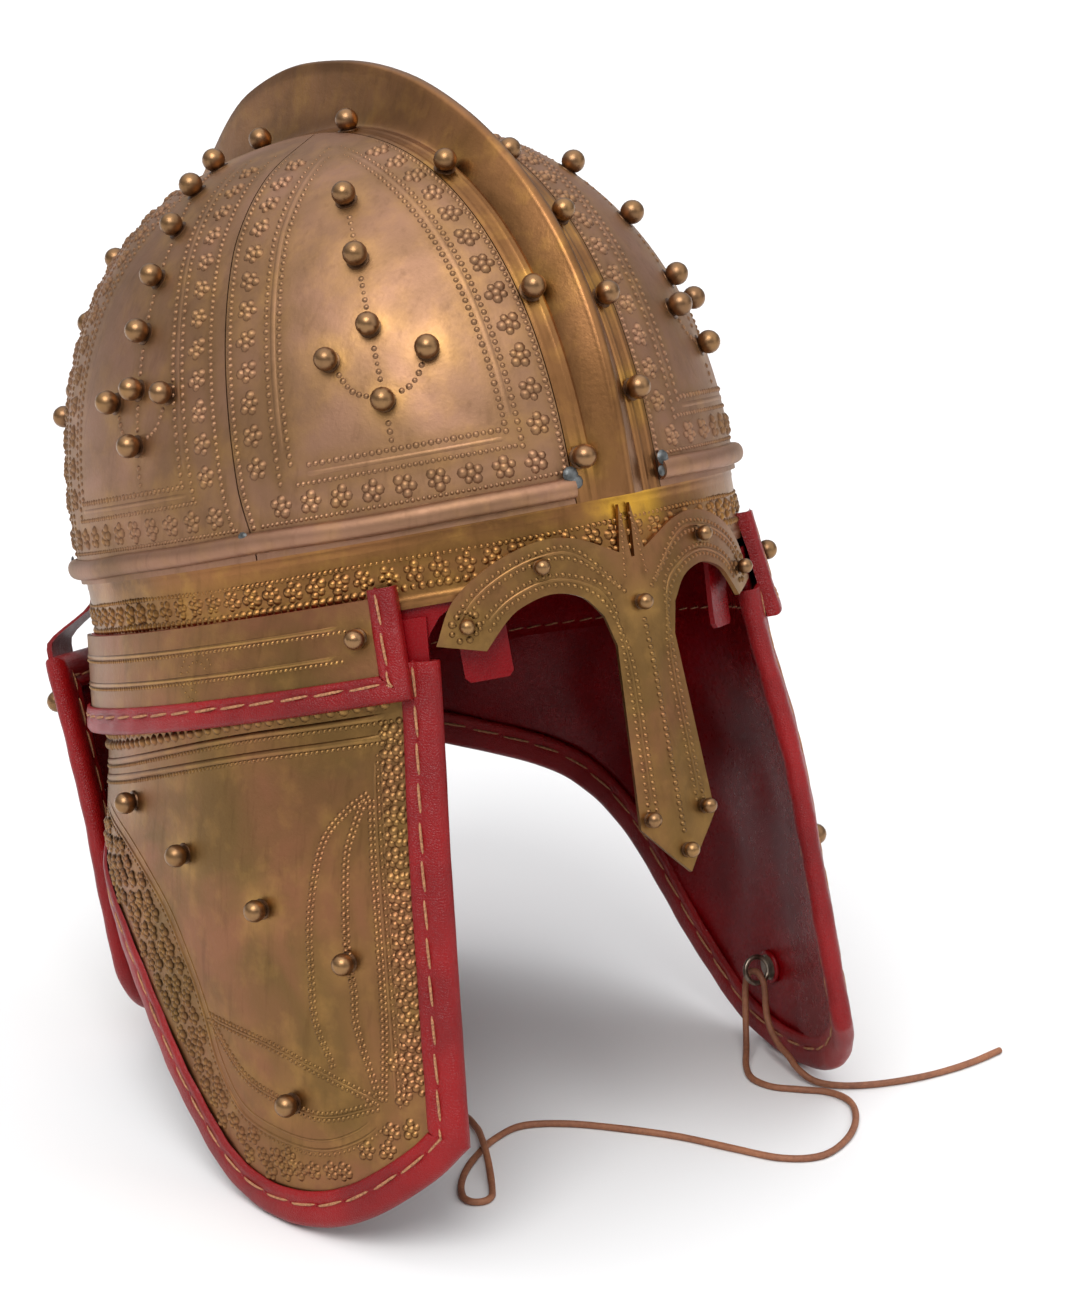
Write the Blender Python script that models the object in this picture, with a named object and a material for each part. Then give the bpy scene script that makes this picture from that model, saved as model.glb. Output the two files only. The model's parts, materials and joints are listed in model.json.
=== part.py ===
# A late Roman cavalry ridge helmet in brass and red leather, standing on its cheek guards and neck guard.
# Metres, +Z up. The face looks along -Y, and the wearer's left is +X.
# The pieces are shaped on an upright helmet, and one empty then leans it back until it stands.
import math

import bmesh
import bpy
import numpy as np
from mathutils import Matrix, Vector

for old in list(bpy.data.objects):
    bpy.data.objects.remove(old, do_unlink=True)

# Shared clearances and sheet gauges
gap = 0.0003
bowl_wall = 0.0012
band_wall = 0.0012
plate_wall = 0.0010
nasal_wall = 0.0015
lining_wall = 0.0016
sweatband_wall = 0.0016
backing_wall = 0.0015
binding_wall = 0.0013
binding_gap = 0.0006
sheet_step = 0.014

# Bowl
ring_half_length = 0.124
ring_half_width = 0.1025
bowl_height = 0.127
bowl_foot = -0.005
apex_back = 0.008
fullness_front = 2.5
fullness_side = 2.2
seam_angle = math.radians(62.5)
seam_top_angle = math.radians(83)

# Ridge band
ridge_half_width = 0.016
ridge_height = 0.023
keel_foot_half = 0.0085
keel_top_half = 0.0018

# Bead round the bowl's foot
bead_half_height = 0.0033
bead_relief = 0.0032

# Rim band, sweatband and the tabs that hang from it
rim_top = -0.0005
rim_clearance = 0.0005
rim_bottom = -0.027
sweatband_bottom_front = -0.029
sweatband_bottom_side = -0.054
sweatband_step = 0.072
sweatband_step_run = 0.024
tab_width = 0.016
tab_top = -0.014
tab_bottom = -0.053
tab_point = 0.005
tab_along = 0.052
tab_gap = 0.0007
tab_step = 0.009

# Nasal plate
brow_half_span = 0.0663
brow_top = -0.014
brow_depth = 0.0295
nose_half_width_top = 0.0110
nose_half_width_foot = 0.0143
nose_foot = -0.106
nose_tip = -0.1218
spike_top = -0.0076
spike_spread = 0.0021
spike_slit = 0.0006
spike_slit_below = 0.002
nasal_step = 0.0085
nasal_edge_step = 0.0075

# Side panels
panel_front = 0.0768
panel_back = 0.256
panel_top = -0.022
panel_bottom = -0.052
panel_lift = 0.0037
panel_border = 0.0070

# Cheek guards
cheek_front = 0.074
cheek_front_top = 0.068
cheek_span = 0.227
cheek_hang = -0.030
cheek_plate_top = -0.046
cheek_depth = 0.165
cheek_flare = 0.0040
cheek_flare_run = 0.060
cheek_bulge = 0.0050
cheek_bulge_at = 0.235
cheek_bulge_run = 0.034
cheek_border = 0.0105

# Neck guard
neck_half_span = 0.077
neck_top = -0.027
neck_depth = 0.131
neck_shift = 0.015
neck_stand_off = 0.0072
neck_spread = 0.0042
neck_corner_flare = 0.0025
neck_foot_flare = 0.0020
neck_border = 0.0105
strap_width = 0.015
strap_wall = 0.0018
strap_gap = 0.0005
strap_along = 0.046
strap_top = -0.0062
strap_bottom = -0.056
strap_bend = -0.011
strap_stud_rise = 0.012

# Ball studs
stud_radius = 0.0040
small_stud_radius = 0.0026
stud_sides = 6
stud_root = 0.00105

# Tie rings and lace
tie_along = 0.159
tie_above_foot = 0.033
tie_base_radius = 0.0046
tie_base_height = 0.0011
tie_ring_radius = 0.0045
tie_wire = 0.0009
tie_gap = 0.0006
lace_diameter = 0.0023
knot_radius = 0.0041

# The lace's way: from its knot at the right ring down to the surface, through its small loop and the
# long bend between the guards, up through the left ring, and down again to its free end
lace_route = (
    (-0.0967, -0.0637, 0.0306),
    (-0.0972, -0.0600, 0.0294),
    (-0.0973, -0.0562, 0.0266),
    (-0.0964, -0.0526, 0.0215),
    (-0.0940, -0.0486, 0.0135),
    (-0.0895, -0.0444, 0.0062),
    (-0.0810, -0.0404, 0.0019),
    (-0.0660, -0.0370, 0.0012),
    (-0.0470, -0.0352, 0.0012),
    (-0.0290, -0.0372, 0.0012),
    (-0.0168, -0.0468, 0.0012),
    (-0.0194, -0.0600, 0.0024),
    (-0.0258, -0.0730, 0.0039),
    (-0.0316, -0.0840, 0.0032),
    (-0.0364, -0.0924, 0.0018),
    (-0.0400, -0.0982, 0.0012),
    (-0.0432, -0.1024, 0.0012),
    (-0.0466, -0.1040, 0.0012),
    (-0.0499, -0.1028, 0.0012),
    (-0.0512, -0.0996, 0.0012),
    (-0.0500, -0.0956, 0.0012),
    (-0.0460, -0.0896, 0.0012),
    (-0.0390, -0.0824, 0.0012),
    (-0.0300, -0.0756, 0.0012),
    (-0.0180, -0.0690, 0.0012),
    (-0.0050, -0.0664, 0.0012),
    (0.0080, -0.0740, 0.0012),
    (0.0200, -0.0874, 0.0012),
    (0.0316, -0.1034, 0.0012),
    (0.0402, -0.1204, 0.0012),
    (0.0486, -0.1356, 0.0012),
    (0.0600, -0.1420, 0.0012),
    (0.0740, -0.1378, 0.0012),
    (0.0864, -0.1284, 0.0012),
    (0.0944, -0.1166, 0.0012),
    (0.0938, -0.1064, 0.0012),
    (0.0872, -0.0988, 0.0012),
    (0.0810, -0.0914, 0.0012),
    (0.0798, -0.0826, 0.0012),
    (0.0840, -0.0740, 0.0015),
    (0.0902, -0.0664, 0.0044),
    (0.0944, -0.0608, 0.0106),
    (0.0962, -0.0582, 0.0176),
    (0.0967, -0.0576, 0.0230),
    (0.0968, -0.0590, 0.0276),
    (0.0968, -0.0628, 0.0296),
    (0.0968, -0.0666, 0.0276),
    (0.0968, -0.0680, 0.0230),
    (0.0965, -0.0690, 0.0178),
    (0.0958, -0.0720, 0.0124),
    (0.0948, -0.0780, 0.0084),
    (0.0938, -0.0850, 0.0064),
    (0.0928, -0.0914, 0.0042),
    (0.0946, -0.0980, 0.0019),
    (0.1000, -0.1044, 0.0013),
    (0.1096, -0.1102, 0.0012),
    (0.1230, -0.1146, 0.0012),
    (0.1366, -0.1166, 0.0012),
    (0.1504, -0.1166, 0.0012),
    (0.1636, -0.1150, 0.0012),
)
lace_step = 0.0074


# Smooth numbers

def smooth(share):
    """Rises from 0 to 1 with level ends."""
    share = min(max(share, 0.0), 1.0)
    return share * share * (3 - 2 * share)


def through(table, share):
    """A smooth value at this share, through the rows (share, value) of a table."""
    for (low, value_low), (high, value_high) in zip(table, table[1:]):
        if share <= high:
            return value_low + (value_high - value_low) * smooth((share - low) / (high - low))
    return table[-1][1]


def stretches(points):
    """For each stretch between two points, a smooth curve over it as a function of a share."""
    points = [np.array(p, float) for p in points]
    chain = [2 * points[0] - points[1]] + points + [2 * points[-1] - points[-2]]

    def stretch(a, b, c, d):
        def at(t):
            square, cube = t * t, t * t * t
            bend = (2 * a - 5 * b + 4 * c - d) * square
            return (2 * b + (c - a) * t + bend + (3 * b - a - 3 * c + d) * cube) / 2

        return at

    return [stretch(*four) for four in zip(chain, chain[1:], chain[2:], chain[3:])]


def curve_through(points, spacing):
    """A smooth curve through these points, read at about this spacing, ends kept."""
    dense = [at(t) for at in stretches(points) for t in np.linspace(0, 1, 24, endpoint=False)]
    dense = np.array(dense + [np.array(points[-1], float)])
    steps = np.linalg.norm(np.diff(dense, axis=0), axis=1)
    run = np.concatenate([[0], np.cumsum(steps)])
    count = max(1, round(run[-1] / spacing))
    places = np.linspace(0, run[-1], count + 1)
    return np.stack([np.interp(places, run, dense[:, k]) for k in range(dense.shape[1])], 1)


# The ring: an ellipse round the head, read by the length along it from the front, + to the wearer's left

turn = np.linspace(-2 * math.pi, 2 * math.pi, 2881)
speed = np.hypot(ring_half_width * np.cos(turn), ring_half_length * np.sin(turn))
ring_run = np.concatenate([[0], np.cumsum((speed[1:] + speed[:-1]) / 2 * np.diff(turn))])
ring_run -= np.interp(0, turn, ring_run)
half_ring = float(np.interp(math.pi, turn, ring_run))


def ring_angle(along):
    return float(np.interp(along, ring_run, turn))


def ring_length(angle):
    return float(np.interp(angle, turn, ring_run))


def wrap(along, up, out):
    """A point at this length round the ring, this height, and this far outside the ring."""
    angle = ring_angle(along)
    x, y = ring_half_width * math.sin(angle), -ring_half_length * math.cos(angle)
    nx, ny = ring_half_length * math.sin(angle), -ring_half_width * math.cos(angle)
    size = math.hypot(nx, ny)
    return Vector((x + out * nx / size, y + out * ny / size, up))


# The bowl's outer face

def section(up):
    """Half width, half length and centre of the bowl's level section at this height."""
    share = min(max(up / bowl_height, 0.0), 1.0)
    wide = ring_half_width * (1 - share ** fullness_side) ** (1 / fullness_side)
    long = ring_half_length * (1 - share ** fullness_front) ** (1 / fullness_front)
    return wide, long, apex_back * share * share


def inside_bowl(point):
    wide, long, centre = section(point.z)
    if point.z >= bowl_height or wide <= 0:
        return False
    return (point.x / wide) ** 2 + ((point.y - centre) / long) ** 2 < 1


def meet(start, direction):
    """Where a ray from inside the bowl meets its outer face."""
    low, high = 0.0, 0.3
    for _ in range(40):
        middle = (low + high) / 2
        if inside_bowl(start + direction * middle):
            low = middle
        else:
            high = middle
    return start + direction * low


def bowl_normal(point):
    """The outward direction of the bowl's face, from three points of it that lie close by."""
    across = Vector((0, 0, 1)) if abs(point.normalized().z) < 0.9 else Vector((0, 1, 0))
    first = point.cross(across).normalized() * 0.001
    second = point.cross(first).normalized() * 0.001
    corners = [meet(Vector(), (point + step).normalized()) for step in (first, -first, second, -second)]
    normal = (corners[0] - corners[1]).cross(corners[2] - corners[3]).normalized()
    return normal if normal.dot(point) > 0 else -normal


def face_and_normal(point):
    """Snaps a point to the bowl's face along the line from the bowl's heart, with the normal there."""
    if point.z <= 0:
        angle = math.atan2(point.x / ring_half_width, -point.y / ring_half_length)
        along = ring_length(angle)
        return wrap(along, point.z, 0), (wrap(along, 0, 1) - wrap(along, 0, 0)).normalized()
    spot = meet(Vector(), point.normalized())
    return spot, bowl_normal(spot)


def bowl_at(angle, up):
    wide, long, centre = section(up)
    return Vector((wide * math.sin(angle), centre - long * math.cos(angle), up))


def ridge_line(x, angle):
    """The bowl's face over the head at this distance from its middle, angle 0 in front and pi behind."""
    spot = meet(Vector((x, 0, 0)), Vector((0, -math.cos(angle), math.sin(angle))))
    if spot.z <= 0:
        lean = math.asin(min(1, abs(x) / ring_half_width))
        y = ring_half_length * math.cos(lean) * (-1 if math.cos(angle) > 0 else 1)
        return Vector((x, y, spot.z))
    return spot


# Materials

materials = {}
palette = {
    "brass": ((0.42, 0.27, 0.16), 0.42, 1.0),
    "brass_golden": ((0.52, 0.34, 0.14), 0.34, 1.0),
    "leather_red": ((0.36, 0.012, 0.02), 0.40, 0.0),
    "leather_dark_red": ((0.10, 0.004, 0.010), 0.35, 0.0),
    "lace_brown": ((0.33, 0.13, 0.05), 0.70, 0.0),
}


def material(name):
    if name not in materials:
        colour, roughness, metallic = palette[name]
        made = bpy.data.materials.new(name)
        made.use_nodes = True
        shader = made.node_tree.nodes["Principled BSDF"]
        shader.inputs["Base Color"].default_value = (*colour, 1)
        shader.inputs["Roughness"].default_value = roughness
        shader.inputs["Metallic"].default_value = metallic
        made.diffuse_color = (*colour, 1)
        materials[name] = made
    return materials[name]


# Objects

stand = bpy.data.objects.new("helmet_stand", None)
bpy.context.collection.objects.link(stand)


def finish(name, bm, look):
    """Turns a bmesh into a named object that rides on the stand."""
    bmesh.ops.remove_doubles(bm, verts=bm.verts[:], dist=1e-7)
    bmesh.ops.recalc_face_normals(bm, faces=bm.faces[:])
    if bm.calc_volume(signed=True) < 0:
        bmesh.ops.reverse_faces(bm, faces=bm.faces[:])
    mesh = bpy.data.meshes.new(name)
    bm.to_mesh(mesh)
    bm.free()
    made = bpy.data.objects.new(name, mesh)
    made.data.materials.append(material(look))
    bpy.context.collection.objects.link(made)
    made.parent = stand
    return made


def slab(name, outer, inner, look):
    """A sheet between two grids of points, one for each face of the sheet."""
    bm = bmesh.new()
    rows, columns = len(outer), len(outer[0])
    top = [[bm.verts.new(p) for p in row] for row in outer]
    bottom = [[bm.verts.new(p) for p in row] for row in inner]
    for r in range(rows - 1):
        for c in range(columns - 1):
            bm.faces.new((top[r][c], top[r][c + 1], top[r + 1][c + 1], top[r + 1][c]))
            bm.faces.new((bottom[r][c], bottom[r + 1][c], bottom[r + 1][c + 1], bottom[r][c + 1]))
    edge = [(0, c) for c in range(columns)] + [(r, columns - 1) for r in range(1, rows)]
    edge += [(rows - 1, c) for c in range(columns - 2, -1, -1)] + [(r, 0) for r in range(rows - 2, 0, -1)]
    for (r1, c1), (r2, c2) in zip(edge, edge[1:] + edge[:1]):
        if (top[r1][c1].co - top[r2][c2].co).length > 1e-7:
            bm.faces.new((top[r1][c1], bottom[r1][c1], bottom[r2][c2], top[r2][c2]))
    return finish(name, bm, look)


def loft(name, loops, look, closed=False):
    """A solid through a row of loops with equal counts. A closed one comes round to its first loop."""
    bm = bmesh.new()
    rings = [[bm.verts.new(p) for p in loop] for loop in loops]
    pairs = list(zip(rings, rings[1:])) + ([(rings[-1], rings[0])] if closed else [])
    for a, b in pairs:
        for k in range(len(a)):
            n = (k + 1) % len(a)
            bm.faces.new((a[k], a[n], b[n], b[k]))
    if not closed:
        bm.faces.new(rings[0][::-1])
        bm.faces.new(rings[-1])
    return finish(name, bm, look)


def sheet(name, outline, thickness, place, look, step=sheet_step, rows=()):
    """A flat pattern cut into columns, and at these heights, given its thickness, and bent into place."""
    bm = bmesh.new()
    bm.faces.new([bm.verts.new((u, v, 0)) for u, v in outline])
    low, high = min(u for u, v in outline), max(u for u, v in outline)
    count = max(1, math.ceil((high - low) / step))
    cuts = [(Vector((low + (high - low) * k / count, 0, 0)), Vector((1, 0, 0))) for k in range(1, count)]
    cuts += [(Vector((0, row, 0)), Vector((0, 1, 0))) for row in rows]
    for spot, normal in cuts:
        geometry = bm.verts[:] + bm.edges[:] + bm.faces[:]
        bmesh.ops.bisect_plane(bm, geom=geometry, dist=1e-6, plane_co=spot, plane_no=normal)
    made = bmesh.ops.extrude_face_region(bm, geom=bm.faces[:])["geom"]
    for vertex in made:
        if isinstance(vertex, bmesh.types.BMVert):
            vertex.co.z = thickness
    for vertex in bm.verts:
        vertex.co = place(*vertex.co)
    return finish(name, bm, look)


def add_stud(bm, spot, normal, radius, root):
    """A ball stud with a narrow foot that goes this deep into its sheet."""
    turn_to = normal.to_track_quat("Z", "Y").to_matrix().to_4x4()
    frame = Matrix.Translation(spot) @ turn_to
    rings = []
    for share, up in ((0.60, -root), (1.00, 0.78 * radius)):
        rings.append([
            bm.verts.new(frame @ Vector((
                share * radius * math.cos(2 * math.pi * k / stud_sides),
                share * radius * math.sin(2 * math.pi * k / stud_sides),
                up,
            )))
            for k in range(stud_sides)
        ])
    top = bm.verts.new(frame @ Vector((0, 0, 1.72 * radius)))
    bm.faces.new(rings[0][::-1])
    for k in range(stud_sides):
        n = (k + 1) % stud_sides
        bm.faces.new((rings[0][k], rings[0][n], rings[1][n], rings[1][k]))
        bm.faces.new((rings[1][k], rings[1][n], top))


def solder_studs(carrier, spots, radius, root):
    """Ball studs joined to their sheet, as they are soldered on the real one."""
    if not spots:
        return
    bm = bmesh.new()
    for spot, normal in spots:
        add_stud(bm, spot, normal, radius, root)
    tool = finish(carrier.name + "_studs", bm, "brass")
    tool.hide_render = True
    tool.display_type = "WIRE"
    union = carrier.modifiers.new("studs", "BOOLEAN")
    union.operation = "UNION"
    union.object = tool


# Gores

# Shares of the bowl's height, and the share of the base angle that the seam keeps there
seam_path = (
    (0.00, 1.000),
    (0.15, 1.020),
    (0.45, 1.023),
    (0.71, 1.017),
    (0.81, 0.996),
    (0.89, 0.958),
    (0.93, 0.912),
    (0.96, 0.847),
    (1.00, 0.749),
)


def band_edge(side, angle):
    return ridge_line(side * ridge_half_width, angle)


foot_angle = math.asin(bowl_foot / ring_half_length)


def seam_point(side, back, share):
    """A point of the seam between the front or back gore and the middle one, 0 at the foot and 1 on top."""
    top = band_edge(side, math.pi - seam_top_angle if back else seam_top_angle)
    up = bowl_foot + (top.z - bowl_foot) * math.sin(share * math.pi / 2)
    rise = max(0.0, up / top.z)

    def on_section(kept, height):
        angle = seam_angle * kept
        return bowl_at(side * (math.pi - angle if back else angle), height)

    spot = on_section(through(seam_path, rise), up)
    spot += (top - on_section(seam_path[-1][1], top.z)) * smooth((rise - 0.55) / 0.45)
    return face_and_normal(spot)[0]


def patch(foot, head, left, right, rows, columns):
    """A four-sided patch between edge curves, each a function of a share, snapped to the bowl."""
    grid = []
    for r in range(rows + 1):
        v = r / rows
        line = []
        for c in range(columns + 1):
            u = c / columns
            across = left(v) * (1 - u) + right(v) * u
            upward = foot(u) * (1 - v) + head(u) * v
            corners = (foot(0) * (1 - u) + foot(1) * u) * (1 - v) + (head(0) * (1 - u) + head(1) * u) * v
            spot = across + upward - corners
            line.append(spot)
        grid.append(line)
    return grid


def gore(name, side, edges, spots, rows, columns):
    """One bowl sheet with its studs."""
    grid = patch(*edges, rows, columns)
    outer, inner = [], []
    for r, line in enumerate(grid):
        outer.append([])
        inner.append([])
        for c, spot in enumerate(line):
            if 0 < c < columns and r > 0:
                spot = face_and_normal(spot)[0]
            drawn = spot.copy()
            if c in (0, columns):
                other = line[1] if c == 0 else line[-2]
                reach = (other - spot).length
                if reach > 1e-6:
                    drawn += (other - spot) * min(0.5, gap / 2 / reach)
            normal = face_and_normal(drawn)[1]
            outer[-1].append(drawn)
            inner[-1].append(drawn - normal * bowl_wall)
    made = slab(name, outer, inner, "brass")
    solder_studs(made, [(spot, bowl_normal(spot)) for spot in spots], stud_radius, stud_root)
    return made


# Angle from the nearest end of the head and height of each stud on a front or back gore
corner_studs = (
    (math.radians(37.5), 0.0985),
    (math.radians(37.5), 0.0795),
    (math.radians(37.5), 0.0583),
    (math.radians(45.2), 0.0503),
    (math.radians(28.7), 0.0485),
    (math.radians(37.2), 0.0357),
)
# Angle from the front and height of each stud on a middle gore
side_studs = (
    (math.radians(96), 0.1205),
    (math.radians(88), 0.1130),
    (math.radians(83.5), 0.1012),
    (math.radians(83.2), 0.0865),
    (math.radians(83.5), 0.0702),
    (math.radians(83.8), 0.0530),
    (math.radians(76.3), 0.0500),
    (math.radians(90.5), 0.0504),
    (math.radians(84.4), 0.0359),
)
gore_rows = 7
corner_columns = 6
side_columns = 8


def spaced(low, high, share):
    return low + (high - low) * share


def build_gores():
    for side, hand in ((-1, "right"), (1, "left")):
        for back, place in ((False, "front"), (True, "rear")):
            end = math.pi if back else 0.0
            inward = -1 if back else 1
            base_band = band_edge(side, end + inward * foot_angle)
            band_angle = math.asin(ridge_half_width / ring_half_width)
            top_angle = math.pi - seam_top_angle if back else seam_top_angle

            def foot(share):
                angle = spaced(band_angle, seam_angle, share)
                spot = bowl_at(angle, bowl_foot)
                return Vector((side * spot.x, spot.y if not back else -spot.y, bowl_foot))

            def head(share):
                return band_edge(side, top_angle)

            def along_band(share):
                return band_edge(side, spaced(end + inward * foot_angle, top_angle, share))

            def along_seam(share):
                return seam_point(side, back, share)

            spots = [bowl_at(side * (math.pi - a if back else a), up) for a, up in corner_studs]
            edges = (foot, head, along_band, along_seam)
            gore(f"gore_{place}_{hand}", side, edges, spots, gore_rows, corner_columns)

        def middle_foot(share):
            spot = bowl_at(spaced(seam_angle, math.pi - seam_angle, share), bowl_foot)
            return Vector((side * spot.x, spot.y, bowl_foot))

        def middle_head(share):
            return band_edge(side, spaced(seam_top_angle, math.pi - seam_top_angle, share))

        spots = [bowl_at(side * a, up) for a, up in side_studs]
        edges = (
            middle_foot,
            middle_head,
            lambda share: seam_point(side, False, share),
            lambda share: seam_point(side, True, share),
        )
        gore(f"gore_middle_{hand}", side, edges, spots, gore_rows, side_columns)


# Ridge band

# Share of the way over the head, and share of the ridge's full height there
keel_profile = (
    (0.00, 0.20),
    (0.14, 0.35),
    (0.24, 0.40),
    (0.32, 0.52),
    (0.39, 0.70),
    (0.47, 0.89),
    (0.54, 1.00),
    (0.60, 0.94),
    (0.68, 0.60),
    (0.78, 0.38),
    (1.00, 0.20),
)
# Share of the way from the keel's foot to its top, and share of the keel's height there
keel_face = (
    (0.00, 0.00),
    (0.45, 0.22),
    (0.80, 0.62),
    (1.00, 1.00),
)
ridge_stations = 18


def keel_height(angle):
    return ridge_height * through(keel_profile, angle / math.pi)


def ridge_outer(angle):
    """Half of the band's outer section as (distance from the middle, height), edge first."""
    tall = keel_height(angle)
    points = [(ridge_half_width - gap / 2, 0.0)]
    for share, rise in keel_face:
        points.append((spaced(keel_foot_half, keel_top_half, share), tall * rise))
    return points


def offset_inward(points, distance):
    """The same section line moved by the wall, each point along its own normal."""
    moved = []
    for k, (x, up) in enumerate(points):
        low, high = points[max(0, k - 1)], points[min(len(points) - 1, k + 1)]
        if k == len(points) - 1:
            moved.append((max(x - distance, 0.35 * x), up - distance))
            continue
        dx, du = high[0] - low[0], high[1] - low[1]
        size = math.hypot(dx, du)
        sideways, down = (abs(du) / size, abs(dx) / size) if k else (0, 1)
        moved.append((x - distance * sideways, up - distance * down))
    return moved


def ridge_point(x, up, angle):
    spot = ridge_line(x, angle)
    return spot + face_and_normal(spot)[1] * up


# Distance from the middle that the far row of studs keeps, by share of the way over the head
left_row = (
    (0.00, 0.0122),
    (0.30, 0.0118),
    (0.40, 0.0095),
    (0.48, 0.0046),
    (0.62, 0.0046),
    (0.74, 0.0100),
    (1.00, 0.0122),
)
right_row_at = 0.0122
right_first, right_step, right_count = math.radians(4), math.radians(24.2), 7
left_first, left_step, left_count = math.radians(12), math.radians(13.6), 12


def ridge_surface_height(x, angle):
    points = ridge_outer(angle)[::-1]
    return float(np.interp(abs(x), [p[0] for p in points], [p[1] for p in points]))


def ridge_stud(x, angle):
    spot = ridge_point(x, ridge_surface_height(x, angle), angle)
    side = ridge_point(x + 0.0006, ridge_surface_height(x + 0.0006, angle), angle) - spot
    ahead_angle = angle + math.radians(1)
    ahead = ridge_point(x, ridge_surface_height(x, ahead_angle), ahead_angle) - spot
    normal = ahead.cross(side).normalized()
    return spot, normal if normal.dot(spot) > 0 else -normal


def build_ridge():
    loops = []
    for k in range(ridge_stations + 1):
        angle = spaced(foot_angle, math.pi - foot_angle, k / ridge_stations)
        outer = ridge_outer(angle)
        inner = offset_inward(outer, band_wall)
        half = outer + [(-x, up) for x, up in outer[::-1]]
        under = [(-x, up) for x, up in inner] + inner[::-1]
        loops.append([ridge_point(x, up, angle) for x, up in half + under])
    band = loft("ridge_band", loops, "brass_golden")
    spots = [ridge_stud(-right_row_at, right_first + k * right_step) for k in range(right_count)]
    for k in range(left_count):
        angle = left_first + k * left_step
        spots.append(ridge_stud(through(left_row, angle / math.pi), angle))
    solder_studs(band, spots, stud_radius, stud_root)


# Bead, rim band and sweatband

bead_stations = 24


def build_bead():
    start = ring_length(math.asin(ridge_half_width / ring_half_width)) + gap
    arc = [math.radians(a) for a in (0, 60, 120, 180)]
    for side, hand in ((-1, "right"), (1, "left")):
        loops = []
        for k in range(bead_stations + 1):
            along = side * spaced(start, half_ring - start, k / bead_stations)
            loops.append([
                wrap(along, bead_half_height * math.cos(a), gap + bead_relief * math.sin(a)) for a in arc
            ])
        loft(f"bead_{hand}", loops, "brass")


rim_outer = -bowl_wall - rim_clearance
rim_inner = rim_outer - band_wall
sweatband_outer = rim_inner - gap
sweatband_inner = sweatband_outer - sweatband_wall
ring_stations = 40


def sweatband_bottom(along):
    reach = abs(along) if abs(along) <= half_ring else 2 * half_ring - abs(along)
    return spaced(
        sweatband_bottom_front,
        sweatband_bottom_side,
        smooth((reach - sweatband_step) / sweatband_step_run + 0.5),
    )


def hoop(name, top, bottom, outer, inner, look):
    """A closed band round the head whose lower edge is a function of the way round."""
    loops = []
    for k in range(ring_stations):
        along = spaced(-half_ring, half_ring, k / ring_stations)
        low = bottom(along)
        corners = ((top, outer), (low, outer), (low, inner), (top, inner))
        loops.append([wrap(along, up, out) for up, out in corners])
    loft(name, loops, look, closed=True)


# Edge bindings

def inward(stations, turn_left):
    """Unit directions into the piece at each station of an open edge path, longer at its corners."""
    stations = [np.array(p) for p in stations]
    ways = []
    for k in range(len(stations)):
        parts = []
        for a, b in ((k - 1, k), (k, k + 1)):
            if 0 <= a and b < len(stations):
                step = stations[b] - stations[a]
                step = step / np.linalg.norm(step)
                parts.append(np.array((-step[1], step[0])) * turn_left)
        middle = sum(parts) / np.linalg.norm(sum(parts))
        ways.append(middle / max(0.5, float(middle @ parts[0])))
    return stations, ways


def binding_section(width, low, high, inner_flange):
    """The binding's section as (distance in from the edge, height): a U, or an L without the inner side."""
    outside = -gap - binding_wall
    slot_high, skin_high = high + binding_gap, high + binding_gap + binding_wall
    points = [(width, slot_high), (width, skin_high), (outside, skin_high)]
    if inner_flange:
        slot_low, skin_low = low - binding_gap, low - binding_gap - binding_wall
        points += [(outside, skin_low), (width, skin_low), (width, slot_low), (-gap, slot_low)]
    else:
        points += [(outside, low), (-gap, low)]
    return points + [(-gap, slot_high)]


def binding(name, path, place, section_points, look, turn_left=1):
    """Leather folded over the edges of a plate and its lining, along an open edge path."""
    stations, ways = inward(path, turn_left)
    loops = [
        [place(*(spot + way * depth), up) for depth, up in section_points]
        for spot, way in zip(stations, ways)
    ]
    loft(name, loops, look)


# Nasal plate

# Shares of the brow's half span and of its depth
brow_outer = (
    (0.070, 0.270),
    (0.284, 0.040),
    (0.468, 0.000),
    (0.690, 0.146),
    (0.890, 0.440),
    (1.000, 0.864),
)
brow_inner = (
    (0.778, 1.000),
    (0.667, 0.746),
    (0.584, 0.627),
    (0.440, 0.553),
    (0.297, 0.644),
    (0.205, 0.880),
)
nose_root = -0.0495
# Shares of the way along and down for small studs: brow end, brow middle
brow_studs = ((0.905, 0.720), (0.468, 0.262))
nose_studs = ((0.0, -0.0380), (0.0, -0.1150))
nose_side_stud = (0.0105, -0.1035)


def brow_point(share_along, share_down):
    return brow_half_span * share_along, brow_top - brow_depth * share_down


def nasal_outline():
    outer = [tuple(p) for p in curve_through([brow_point(*p) for p in brow_outer], nasal_edge_step)]
    inner = [tuple(p) for p in curve_through([brow_point(*p) for p in brow_inner], nasal_edge_step)]
    slit_foot = outer[0][1] - spike_slit_below
    half = [(spike_slit, slit_foot), (spike_spread, spike_top)] + outer + inner
    half += [(nose_half_width_top, nose_root), (nose_half_width_foot, nose_foot)]
    mirrored = [(-u, v) for u, v in half]
    return half + [(0.0, nose_tip)] + mirrored[::-1]


def build_nasal():
    base = rim_outer + gap

    def place(along, up, out):
        return wrap(along, up, base + out)

    plate = sheet("nasal", nasal_outline(), nasal_wall, place, "brass", step=nasal_step)
    spots = [brow_point(*p) for p in brow_studs]
    marks = [(side * u, v) for side in (-1, 1) for u, v in spots + [nose_side_stud]] + list(nose_studs)
    studs = [
        (wrap(u, v, base + nasal_wall), (wrap(u, v, 1) - wrap(u, v, 0)).normalized()) for u, v in marks
    ]
    solder_studs(plate, studs, small_stud_radius, nasal_wall / 2)


# Side panels

panel_stud = (0.089, -0.033)
panel_edge_step = 0.014


def panel_base(up):
    return rim_outer + gap + panel_lift * (panel_top - up) / (panel_top - panel_bottom)


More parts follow.
